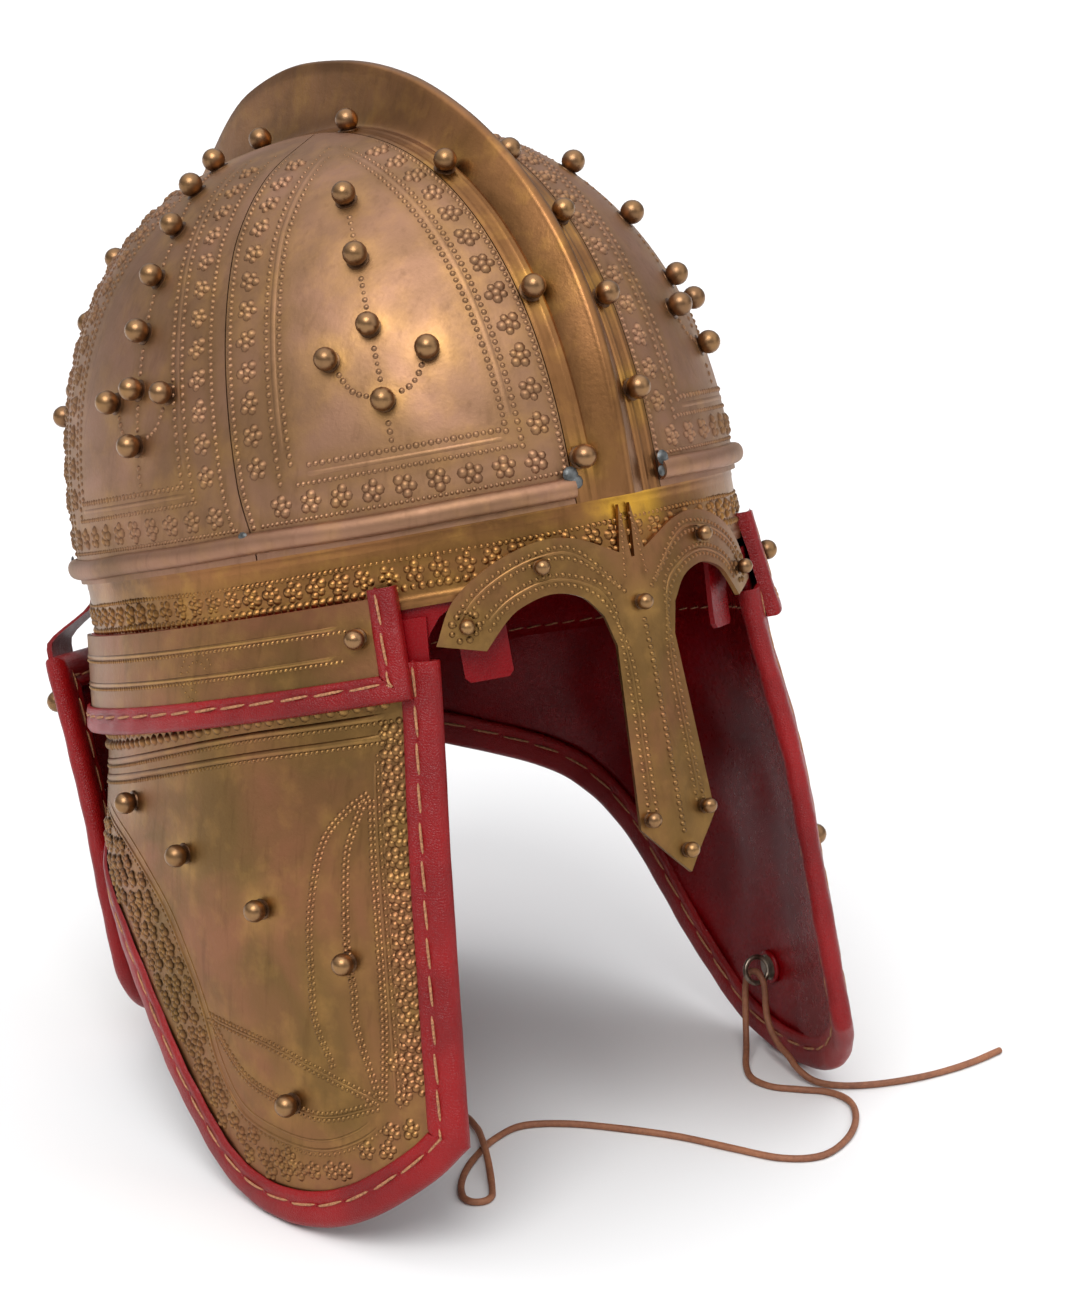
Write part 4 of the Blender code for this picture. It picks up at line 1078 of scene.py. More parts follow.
def ridgeStudSpots(xs, angles):
    zero = np.zeros(len(xs))
    spots = ridgePlace(xs, angles, zero)
    aside = ridgePlace(xs + 0.0006, angles, zero) - spots
    ahead = ridgePlace(xs, angles + 0.01, zero) - spots
    ups = unit(np.cross(ahead, aside))
    return spots, ups * np.sign(np.sum(ups * spots, 1))[:, None]


def buildRidge():
    foot, top = ridge["keelFoot"], ridge["keelTop"]
    edge = helmet["bandHalf"] - gap / 2
    half = list(np.linspace(edge, foot, 16)) + list(np.linspace(foot, top, 13))[1:]
    half += [top * s for s in (0.8, 0.5, 0.2)]
    xs = np.array(half + [0.0] + [-x for x in half[::-1]])
    bm, u, v, far = makeGrid(ridge["columns"], len(xs) - 1, thick=True)
    x = xs[np.rint(v * (len(xs) - 1)).astype(int)]
    angle = spaced(footAngle, math.pi - footAngle, u)
    slim = np.where(far > 0.5, np.where(np.abs(x) < foot, 0.62, 1.0), 1.0)
    rise = ridgeRise(x, angle)
    spots = ridgeLine(x * slim, angle)
    under = np.where(np.abs(x) < foot, np.minimum(rise * 0.9, rise - ridge["wall"]), rise - ridge["wall"])
    moveCorners(bm, spots + onBowl(spots)[1] * np.where(far > 0.5, under, rise)[:, None])
    start, step, count = ridge["right"]
    rightAngles = start + step * np.arange(count)
    start, step, count = ridge["left"]
    leftAngles = start + step * np.arange(count)
    leftRow = through(ridge["leftRow"], leftAngles / math.pi)
    xs = np.concatenate([np.full(len(rightAngles), -ridge["rightRow"]), leftRow])
    spots, ups = ridgeStudSpots(xs, np.concatenate([rightAngles, leftAngles]))
    heap = Heap()
    studsAt(heap, spots, ups, studRadius)
    finishPiece("ridge_band", bm, "brass_golden", ["ridge_band"], studs=spots, sharp=60)
    heap.finish("ridge_studs", "brass_stud", "brass")


buildRidge()
print("ridge band ready")

# Bead round the bowl's foot, with the solder at its ends

bead = {"half": 0.0033, "relief": 0.0032, "columns": 110, "waver": 0.00018}
# Length round the ring, height, and size of each patch of solder
solderLumps = (
    (-0.0172, 0.0018, 0.0030), (0.0172, 0.0018, 0.0028), (-0.1215, 0.001, 0.0022),
    (-0.262, 0.001, 0.0022), (0.1215, 0.001, 0.0022), (0.262, 0.001, 0.0022),
)


def buildBead():
    start = float(np.interp(math.asin(helmet["bandHalf"] / helmet["ringHalfWidth"]), turn, ringRun)) + gap
    arc = np.linspace(0, math.pi, 11)
    for side, hand in ((-1, "right"), (1, "left")):
        along = side * np.linspace(start, halfRing - start, bead["columns"])
        waver = bead["waver"] * (np.sin(along * 95) + np.sin(along * 41 + 1))
        rows = [
            wrap(
                along, bead["half"] * math.cos(a) + waver,
                gap + bead["relief"] * math.sin(a) ** 0.8 + waver / 2,
            )
            for a in arc
        ]
        bm = sweepGrid(np.stack(rows, 1))
        finishPiece(f"bead_{hand}", bm, "brass", [f"bead_{hand}"], sharp=50)
    lumps = Heap()
    lump = turned(((1.15, -0.2), (0.95, 0.08), (0.6, 0.24), (0.0, 0.30)), 10)
    for along, up, size in solderLumps:
        for k in range(4):
            shift = np.array([math.sin(k * 2.1), math.cos(k * 1.7)]) * size * 0.55
            out = bead["relief"] * 0.75
            spot = wrap(along + shift[0], up + shift[1] * 1.3, out)
            ahead = wrap(along + 0.001, up, out) - wrap(along, up, out)
            way = wrap(along, up, 1) - wrap(along, up, 0)
            lumps.scatter(lump, spot, way, ahead, [size * (0.75 - 0.1 * k)])
    lumps.finish("solder_marks", "solder", "brass")


buildBead()

# Rim band and sweatband

rimOuter = -gores["wall"] - rimBand["clearance"]
rimInner = rimOuter - rimBand["wall"]
sweatband = {
    "wall": 0.0016, "front": -0.029, "side": -0.054, "step": 0.072, "stepRun": 0.024,
    "columns": 200, "rows": 26, "seamAbove": 0.0028,
}
sweatOuter = rimInner - gap
sweatInner = sweatOuter - sweatband["wall"]


def hoopPiece(columns, rows, top, bottom, outer, inner):
    # A closed band: rows down the outside and up the inside
    along = np.linspace(-halfRing, halfRing, columns, endpoint=False)
    share = np.linspace(0, 1, rows)
    loops = []
    for s in share:
        up = spaced(top, bottom(along), s)
        loops.append(wrap(along, up, outer(along, up)))
    for s in share[::-1]:
        up = spaced(top, bottom(along), s)
        loops.append(wrap(along, up, inner(along, up)))
    return sweepGrid(np.stack(loops, 1), closedPath=True)


def buildRim():
    def outer(along, up):
        ridges = sum(h * np.exp(-(((up - at) / w) ** 2)) for at, h, w in rimBand["ridges"])
        dents = 0.00012 * (np.sin(along * 210 + 30 * up) + np.sin(along * 83 + 1.3))
        return rimOuter + ridges + dents

    bm = hoopPiece(
        rimBand["columns"], rimBand["rows"], rimBand["top"],
        lambda along: np.full(len(along), rimBand["bottom"]),
        outer, lambda along, up: np.full(len(along), rimInner),
    )
    heap, marks = Heap(shine=0.40), []

    def place(along, up, w):
        return wrap(along, up, rimOuter + w)

    def level(up, waver=0.0):
        along = np.linspace(-halfRing, halfRing, 400)
        return np.stack([along, up + waver * np.sin(along * 60)], 1)

    marks.append(beadLine(heap, place, level(rimBand["fineLine"], 0.0003), 0.0019, 0.00062))
    marks.append(rosetteLine(heap, place, level(rimBand["rosetteLine"]), 0.0080, 0.0022, 0.00112))
    marks.append(beadLine(heap, place, level(rimBand["scallopLine"], 0.0002), 0.0027, 0.00105))
    heat = np.stack([wrap(s, -0.008, rimOuter)[0] for s in (-0.033, -0.027, -0.021)])
    # The yellow patch at the front middle is a painted highlight
    glow = np.stack([wrap(s, -0.008, rimOuter)[0] for s in (-0.004, 0.003, 0.010)])
    finishPiece(
        "rim_band", bm, "brass_rim", ["rim_band"], relief=np.concatenate(marks), sharp=50,
        tints=(("heat", heat, 0.011), ("bright", glow, 0.006)),
    )
    heap.finish("rim_band_relief", "brass_rim", "brass_golden")


def sweatFoot(along):
    reach = np.where(np.abs(along) <= halfRing, np.abs(along), 2 * halfRing - np.abs(along))
    rise = smooth((reach - sweatband["step"]) / sweatband["stepRun"] + 0.5)
    return spaced(sweatband["front"], sweatband["side"], rise)


buildRim()
print("bead and rim band ready")

# Stitches

stitching = {"pitch": 0.0118, "share": 0.93, "radius": 0.00045, "slant": 0.00028, "sink": 0.0005}


def tubeTemplate(rings, sides):
    bm, u, v, _ = makeGrid(rings, sides)
    angle = 2 * math.pi * v
    moveCorners(bm, np.stack([u, np.cos(angle), np.sin(angle)], 1))
    return template(bm)


stitchTube = tubeTemplate(8, 6)
# Small dark leather domes that paint the shade in the stitch holes
holeShadeShape = turned(((1.0, -0.3), (0.8, 0.12), (0.0, 0.2)), 6)
holes = Heap()


def stitchRow(heap, spots, ups, pitch=None, radius=None, slant=None):
    # Long stitches along a line of spots on a surface, each dipping into its holes
    pitch = pitch or stitching["pitch"]
    radius = radius or stitching["radius"]
    slant = stitching["slant"] if slant is None else slant
    run = runOf(spots)
    count = max(1, round(run[-1] / pitch))
    pitch = run[-1] / count
    points, faces = stitchTube
    x = points[:, 0]
    for k in range(count):
        marks = (k + 0.5 + (x - 0.5) * stitching["share"]) * pitch
        middle, up = readAt(marks, run, spots), unit(readAt(marks, run, ups))
        ahead = unit(readAt(marks, run, np.gradient(spots, axis=0)))
        side = np.cross(up, ahead)
        swell = np.sqrt(np.clip(1 - np.abs(2 * x - 1) ** 3.5, 0.02, 1))
        lift = radius * 0.55 - stitching["sink"] * np.abs(2 * x - 1) ** 5
        spot = middle + up * lift[:, None] + side * (slant * (x - 0.5) * 2)[:, None]
        spot = spot + side * (points[:, 1] * radius * swell)[:, None]
        spot = spot + up * (points[:, 2] * radius * 0.85 * swell)[:, None]
        heap.add(spot, faces, np.zeros(len(spot)), np.zeros(len(spot)))
    ends = np.arange(count + 1) * pitch
    middle, up = readAt(ends, run, spots), unit(readAt(ends, run, ups))
    # Painted shade: a small dark dome at each stitch hole
    holes.scatter(holeShadeShape, middle, up, readAt(ends, run, np.gradient(spots, axis=0)), radius * 1.45)


def buildSweatband():
    def inner(along, up):
        share = (up - rimBand["top"]) / (sweatFoot(along) - rimBand["top"])
        soft = 0.0005 * np.sin(along * 70 + 2 * np.sin(along * 23)) * smooth(share * 2)
        seam = 0.0005 * np.exp(-(((up - sweatFoot(along) - sweatband["seamAbove"]) / 0.0008) ** 2))
        fold = 0.0006 * np.sin(share * 9 + along * 12) * smooth(share * 3) * smooth((1 - share) * 4)
        return sweatInner - np.abs(soft) * 0.6 + seam - np.maximum(fold, 0)

    bm = hoopPiece(
        sweatband["columns"], sweatband["rows"], rimBand["top"], sweatFoot,
        lambda along, up: np.full(len(along), sweatOuter), inner,
    )
    finishPiece("sweatband", bm, "leather_dark_red", ["sweatband"], sharp=60)
    heap = Heap()
    along = np.linspace(-halfRing, halfRing, 500)
    spots = wrap(along, sweatFoot(along) + sweatband["seamAbove"], sweatInner)
    ways = wrap(along, 0, 0) - wrap(along, 0, 1)
    stitchRow(heap, spots, ways, pitch=0.0075, radius=0.0003)
    heap.finish("sweatband_stitches", "thread", "leather_dark_red")


buildSweatband()
print("sweatband ready")

# Edge bindings

bindingStyle = {
    "wall": 0.0013, "slack": 0.0006, "lip": 0.0014, "stitchAt": 0.60, "groove": 0.00045,
    "grooveWidth": 0.0011,
}


def inwardWays(stations, turnLeft, closed):
    # Unit ways into the piece at each station of an edge, longer at its corners, and the corners' numbers
    count = len(stations)
    nextStation = np.roll(stations, -1, axis=0)
    steps = unit(nextStation - stations)
    before = np.roll(steps, 1, axis=0)
    if not closed:
        steps[-1] = before[-1]
        before[0] = steps[0]
    turnedIn = lambda s: np.stack([-s[:, 1], s[:, 0]], 1) * turnLeft
    ways = unit(turnedIn(steps) + turnedIn(before))
    stretch = np.maximum(0.5, np.sum(ways * turnedIn(before), 1))
    bend = np.sum(steps * before, 1)
    corners = [k for k in range(count) if bend[k] < 0.87]
    return ways / stretch[:, None], corners


def offsetEdge(stations, ways, corners, depth, closed):
    # The edge moved in by this depth, kept from crossing over itself beside a sharp corner
    moved = stations + ways * depth
    count = len(stations)
    for c in corners:
        corner, way = stations[c], unit(ways[c])
        ahead = np.array([way[1], -way[0]])
        if np.dot(stations[(c + 1) % count] - corner, ahead) < 0:
            ahead = -ahead
        for k in range(-9, 10):
            if k == 0 or (not closed and not 0 <= c + k < count):
                continue
            at = (c + k) % count
            beyond = np.dot(moved[at] - corner, ahead) * (1 if k > 0 else -1)
            if beyond < 0:
                moved[at] -= ahead * np.dot(moved[at] - corner, ahead)
    return moved


def bindingLoop(width, low, high, bothSides):
    # The folded leather's section as (distance in from the edge, height, how much it follows the stitches)
    wall, slack, lip = bindingStyle["wall"], bindingStyle["slack"], bindingStyle["lip"]
    slotHigh, skinHigh = high + slack, high + slack + wall
    slotLow, skinLow = low - slack, low - slack - wall
    outside = -gap - wall
    groove = width * bindingStyle["stitchAt"]

    def skin(top, sign):
        rows = [(width, (top - sign * wall * 0.75), 0.0), (width - lip * 0.25, top - sign * wall * 0.30, 0.2)]
        inner = np.linspace(width - lip, (outside + width) * 0.30, 13)
        for depth in inner:
            dip = math.exp(-(((depth - groove) / bindingStyle["grooveWidth"]) ** 2))
            rows.append((depth, top - sign * bindingStyle["groove"] * dip, dip))
        return rows

    loop_ = [(width, slotHigh, 0)] + skin(skinHigh, 1)
    if bothSides:
        radius = (skinHigh - skinLow) / 2
        centre = outside + radius
        for a in np.linspace(math.radians(75), math.radians(-75), 11):
            loop_.append((centre - radius * math.cos(a), skinLow + radius + radius * math.sin(a), 0))
        loop_ += skin(skinLow, -1)[::-1]
        loop_ += [(width, slotLow, 0), (-gap, slotLow, 0)]
    else:
        radius = 0.0021
        for a in np.linspace(math.radians(90), math.radians(0), 7):
            height = skinHigh - radius + radius * math.sin(a)
            loop_.append((outside + radius - radius * math.cos(a), height, 0))
        loop_ += [(outside, low, 0), (-gap, low, 0)]
    return np.array(loop_ + [(-gap, slotHigh, 0)])


def buildBinding(name, stations, place, width, low, high, bothSides, turnLeft=1, closed=False, threads=None):
    stations = np.asarray(stations, float)
    ways, corners = inwardWays(stations, turnLeft, closed)
    loop_ = bindingLoop(width, low, high, bothSides)
    flat = np.stack([stations[:, 0], stations[:, 1]], 1)
    run = runOf(flat)
    rows = []
    for depth, height, follow in loop_:
        chart = offsetEdge(stations, ways, corners, depth, closed)
        pucker = follow * 0.00016 * np.cos(2 * math.pi * run / stitching["pitch"])
        ripple = 0.00010 * np.sin(run * 410 + depth * 300) + 0.00012 * np.sin(run * 173 + 1)
        sign = 1 if height > (low + high) / 2 else -1
        rows.append(place(chart[:, 0], chart[:, 1], height + sign * (pucker + ripple)))
    bm = sweepGrid(np.stack(rows, 1), closedPath=closed)
    made = finishPiece(name, bm, "leather_red", [name], sharp=55)
    depth = width * bindingStyle["stitchAt"]
    chart = offsetEdge(stations, ways, corners, depth, closed)
    if closed:
        chart = np.concatenate([chart, chart[:1]])
    for sign, level in ((1, high + bindingStyle["slack"] + bindingStyle["wall"] - bindingStyle["groove"]),
                        (-1, low - bindingStyle["slack"] - bindingStyle["wall"] + bindingStyle["groove"])):
        if sign < 0 and not bothSides:
            continue
        spots = place(chart[:, 0], chart[:, 1], np.full(len(chart), level))
        lifted = place(chart[:, 0], chart[:, 1], np.full(len(chart), level + sign * mm))
        keep = np.concatenate([[True], np.linalg.norm(np.diff(spots, axis=0), axis=1) > 1e-5])
        stitchRow(threads, spots[keep], unit(lifted - spots)[keep])
    return made


# Nasal plate

nasal = {
    "wall": 0.0015, "halfSpan": 0.0663, "top": -0.014, "depth": 0.0295,
    "noseTop": 0.0110, "noseFoot": 0.0143, "root": -0.0495, "foot": -0.106, "tip": -0.1218,
    "spikeTop": -0.0076, "spikeSpread": 0.0021, "slit": 0.0006, "slitBelow": 0.002, "step": 0.0032,
    "outer": ((0.070, 0.270), (0.284, 0.040), (0.468, 0.000), (0.690, 0.146), (0.890, 0.440), (1.000, 0.864)),
    "inner": ((0.778, 1.000), (0.667, 0.746), (0.584, 0.627), (0.440, 0.553), (0.297, 0.644), (0.205, 0.880)),
    "studs": ((0.0600, -0.0352), (0.0310, -0.0217)),
    "noseStuds": ((0.0, -0.0380), (0.0, -0.1150), (0.0105, -0.1035), (-0.0105, -0.1035)),
    "beadStep": 0.0021, "beadSize": 0.00058,
    "rows": ((0.20, "bead"), (0.29, "rib"), (0.38, "bead"), (0.66, "bead"), (0.75, "rib"), (0.84, "bead")),
}


def browPoint(share):
    return nasal["halfSpan"] * share[0], nasal["top"] - nasal["depth"] * share[1]


def nasalOutline():
    outer = pathThrough([browPoint(p) for p in nasal["outer"]], 0.0022)
    inner = pathThrough([browPoint(p) for p in nasal["inner"]], 0.0022)
    half = [(nasal["slit"], outer[0][1] - nasal["slitBelow"]), (nasal["spikeSpread"], nasal["spikeTop"])]
    half += [tuple(p) for p in outer] + [tuple(p) for p in inner]
    half += [(nasal["noseTop"], nasal["root"]), (nasal["noseFoot"], nasal["foot"])]
    return half + [(0.0, nasal["tip"])] + [(-u, v) for u, v in half][::-1]


def buildNasal():
    base = rimOuter + gap

    def place(along, up, w):
        crease = 0.0011 * np.exp(-((np.asarray(along) / 0.0035) ** 2))
        crease = crease * smooth((-0.038 - np.asarray(up)) / 0.02)
        return wrap(along, up, base + w + crease)

    wall = nasal["wall"]
    heap, marks = Heap(shine=0.35), []
    outerPoints, innerPoints = nasal["outer"], nasal["inner"][::-1]

    def browLine(share, flip, tail=()):
        rows = []
        for (ua, va), (ub, vb) in zip(outerPoints, innerPoints):
            rows.append(browPoint((spaced(ua, ub, share), spaced(va, vb, share))))
        rows = [tuple(p) for p in tail] + rows
        if share < 0.5:
            rows = [(0.0045, -0.0345)] + rows[1:]
        return np.array([(flip * u, v) for u, v in pathThrough(rows, 0.0015)])[: -4]

    for flip in (-1, 1):
        for share, kind in nasal["rows"]:
            tail = ()
            if share > 0.5:
                inset = 0.0092 - 0.014 * (share - 0.66)
                low, high = nasal["foot"] + 0.004, nasal["root"] - 0.006
                tail = ((inset * 1.16, low), (inset * 1.08, -0.085), (inset, high))
            line = browLine(share, flip, tail)
            if kind == "bead":
                marks.append(beadLine(heap, place, line, nasal["beadStep"], nasal["beadSize"], level=wall))
            else:
                ribLine(heap, place, line, 0.0012, 0.00035, level=wall)
        centre = np.array([flip * nasal["studs"][0][0] * 0.945, nasal["studs"][0][1]])
        spots, ups = placeNormals(place, centre[:1], centre[1:], np.array([wall]))
        heads = wrap(centre[:1] + mm, centre[1:], base) - wrap(centre[:1], centre[1:], base)
        rosettesAt(heap, spots, ups, heads, 0.0042, 0.0008, petals=9)
        marks.append(spots)
    middle = np.stack([np.zeros(60), np.linspace(-0.0425, -0.110, 60)], 1)
    marks.append(beadLine(heap, place, middle, nasal["beadStep"], nasal["beadSize"] * 1.1, level=wall))
    for flip in (-1, 1):
        spike = np.stack([flip * np.linspace(0.0016, 0.0042, 14), np.linspace(-0.010, -0.030, 14)], 1)
        marks.append(beadLine(heap, place, spike, 0.0017, 0.00042, level=wall))

    browStuds = [(f * u, v) for f in (-1, 1) for u, v in ((0.056, -0.0352), (0.0310, -0.0217))]
    chart = np.array(browStuds + list(nasal["noseStuds"]))
    spots, ups = placeNormals(place, chart[:, 0], chart[:, 1], np.full(len(chart), wall))
    studs = Heap()
    studsAt(studs, spots, ups, smallStudRadius)
    bm = bendSheet(cutSheet(nasalOutline(), nasal["step"], wall), place)
    finishPiece(
        "nasal", bm, "brass_plate", ["nasal"], studs=spots, relief=np.concatenate(marks), sharp=45
    )
    heap.finish("nasal_relief", "brass_plate", "brass")
    studs.finish("nasal_studs", "brass_stud", "brass")


buildNasal()
print("nasal plate ready")

# Side panels

panel = {
    "front": 0.0768, "back": 0.256, "top": -0.022, "bottom": -0.052, "lift": 0.0037, "border": 0.0070,
    "backing": 0.0015, "plate": 0.0010, "stud": (0.089, -0.033), "step": 0.0035, "stripAbove": 0.0028,
    "lines": ((-0.0290, 0.083), (-0.0378, 0.085)), "circle": (0.150, -0.0375, 0.0075),
}


def buildPanels(threads, studs):
    for side, hand in ((-1, "right"), (1, "left")):
        def place(along, up, w, side=side):
            base = rimOuter + gap + panel["lift"] * (panel["top"] - up) / (panel["top"] - panel["bottom"])
            return wrap(side * np.asarray(along), up, base + w)

        level = panel["backing"] + gap

        def onBacking(along, up, w, place=place, level=level):
            return place(along, up, level + w)

        front, back, top, bottom = panel["front"], panel["back"], panel["top"], panel["bottom"]
        outline = [(front, bottom), (back, bottom), (back, top), (front, top)]
        bm = bendSheet(cutSheet(outline, 0.006, panel["backing"]), place)
        finishPiece(f"panel_backing_{hand}", bm, "leather_red", [f"panel_backing_{hand}"])
        heap, marks = Heap(), []
        for height, start in panel["lines"]:
            line = np.stack([np.linspace(start + 0.009, back - 0.004, 120), np.full(120, height)], 1)
            ribLine(heap, onBacking, line, 0.0016, 0.00055, level=panel["plate"])
            line[:, 1] -= 0.0014
            marks.append(beadLine(heap, onBacking, line, 0.0018, 0.00052, level=panel["plate"]))
        along, up, radius = panel["circle"]
        for size in (1.0, 0.62):
            angles = np.linspace(-0.5 * math.pi, 0.9 * math.pi, 50)
            ring = np.stack([along + size * radius * np.cos(angles), up + size * radius * np.sin(angles)], 1)
            marks.append(beadLine(heap, onBacking, ring, 0.0021, 0.00036, level=panel["plate"]))
        spot, way = placeNormals(onBacking, *(np.array([n]) for n in (*panel["stud"], panel["plate"])))
        studsAt(studs, spot, way, studRadius * 0.86)
        bm = bendSheet(cutSheet(outline, panel["step"], panel["plate"]), onBacking)
        name = f"panel_plate_{hand}"
        finishPiece(name, bm, "brass_plate", [name], studs=spot, relief=np.concatenate(marks))
        heap.finish(name + "_relief", "brass_plate", "brass")
        down = [(front, spaced(top + panel["stripAbove"], bottom, s)) for s in np.linspace(0, 1, 15)]
        aside = [(spaced(front, back, s), bottom) for s in np.linspace(0, 1, 78)][1:]
        high = level + panel["plate"]
        buildBinding(
            f"panel_binding_{hand}", down + aside, place, panel["border"], 0.0, high, False, threads=threads
        )


# Cheek guards

cheek = {
    "front": 0.074, "frontTop": 0.068, "span": 0.227, "hang": -0.030, "plateTop": -0.046, "depth": 0.165,
    "flare": 0.0040, "flareRun": 0.060, "bulge": 0.0050, "bulgeAt": 0.235, "bulgeRun": 0.034,
    "border": 0.0105, "lining": 0.0016, "plate": 0.0010, "step": 0.0036, "bindingTop": -0.0435,
    "lower": (
        (0.048, 0.873), (0.107, 0.928), (0.207, 0.985), (0.300, 1.000), (0.399, 0.972), (0.478, 0.905),
        (0.555, 0.776), (0.617, 0.630), (0.661, 0.515), (0.720, 0.410), (0.791, 0.335), (0.938, 0.248),
        (1.000, 0.224),
    ),
    "studs": ((0.205, -0.0758), (0.173, -0.0926), (0.140, -0.1112), (0.111, -0.1300), (0.142, -0.1727)),
}
# Embossed lines of a cheek guard, as (length along the ring, height) in metres
cheekLines = {
    "figureArc": (
        (0.0945, -0.0800), (0.1030, -0.0844), (0.1115, -0.0917), (0.1176, -0.1037), (0.1223, -0.1180),
        (0.1249, -0.1329), (0.1267, -0.1479), (0.1232, -0.1625),
    ),
    "figureMiddle": (
        (0.0962, -0.0815), (0.1010, -0.0895), (0.1055, -0.0994), (0.1101, -0.1234),
        (0.1108, -0.1390), (0.1122, -0.1507), (0.1092, -0.1722),
    ),
    "figureFront": ((0.0939, -0.0813), (0.0978, -0.1111), (0.1023, -0.1472), (0.1077, -0.1742)),
    "leafTop": ((0.1765, -0.1448), (0.1512, -0.1529), (0.1355, -0.1598), (0.1087, -0.1741)),
    "leafFoot": (
        (0.1765, -0.1448), (0.1631, -0.1632), (0.1447, -0.1727), (0.1300, -0.1774), (0.1096, -0.1750),
    ),
    "inner": (
        (0.2400, -0.0775), (0.2111, -0.0900), (0.1926, -0.1077), (0.1837, -0.1271), (0.1790, -0.1430),
        (0.1760, -0.1600), (0.1669, -0.1756), (0.1479, -0.1848), (0.1325, -0.1878), (0.1181, -0.1851),
        (0.1075, -0.1790),
    ),
}
cheekBack = cheek["front"] + cheek["span"]
cheekInner = sweatOuter + gap


def cheekBase(along, up):
    opened = smooth((cheek["plateTop"] - up) / cheek["flareRun"])
    swell = np.exp(-(((along - cheek["bulgeAt"]) / cheek["bulgeRun"]) ** 2))
    return cheekInner + (cheek["flare"] + cheek["bulge"] * swell) * opened


def cheekLower(spacing):
    front, span, top, depth = (cheek[key] for key in ("front", "span", "plateTop", "depth"))
    points = [(front + span * a, top - depth * d) for a, d in cheek["lower"]]
    return [tuple(p) for p in pathThrough(points, spacing)]


def insideOutline(points, outline):
    # Whether each point lies in the outline, and how far it lies from it
    outline = np.asarray(outline)
    ahead = np.roll(outline, -1, axis=0)
    x, y = points[:, :1], points[:, 1:]
    x1, y1, x2, y2 = outline[:, 0], outline[:, 1], ahead[:, 0], ahead[:, 1]
    crossing = ((y1 > y) != (y2 > y)) & (x < (x2 - x1) * (y - y1) / (y2 - y1 + 1e-15) + x1)
    inside = crossing.sum(1) % 2 == 1
    way = ahead - outline
    share = ((points[:, None] - outline) * way).sum(2) / (way * way).sum(1)
    nearest = outline + way * np.clip(share, 0, 1)[..., None]
    return inside, np.linalg.norm(points[:, None] - nearest, axis=2).min(1)


def fillRosettes(heap, place, outline, hole, spacing, margin, level, radius, bumpSize):
    # Rosettes over the band between an outline and the hole within it
    low, high = np.min(outline, axis=0), np.max(outline, axis=0)
    rows = []
    for r, up in enumerate(np.arange(low[1], high[1], spacing * 0.87)):
        for along in np.arange(low[0] + (r % 2) * spacing / 2, high[0], spacing):
            aside = 0.0006 * math.sin(9 * r + along * 400)
            rows.append((along + aside, up + 0.0006 * math.sin(along * 900 + r)))
    points = np.array(rows)
    inside, apart = insideOutline(points, outline)
    within, clear = insideOutline(points, hole)
    keep = inside & (apart > margin) & ~within & (clear > radius + 0.0012)
    points = points[keep]
    if not len(points):
        return np.zeros((0, 3))
    spots, ups = placeNormals(place, points[:, 0], points[:, 1], np.full(len(points), level))
    heads = np.cross(ups, np.array([[0.0, 0.0, 1.0]]))
    rosettesAt(heap, spots, ups, heads, radius, bumpSize)
    return spots


def cheekFrontEdge(up):
    # Length along the ring of the guard's front edge at this height
    foot = np.array(cheekLower(0.01)[0])
    share = (cheek["plateTop"] - np.asarray(up)) / (cheek["plateTop"] - foot[1])
    return cheek["frontTop"] + (foot[0] - cheek["frontTop"]) * share


def frontLine(distance, top, bottom):
    ups = np.linspace(top, bottom, 60)
    return np.stack([cheekFrontEdge(ups) + distance, ups], 1)


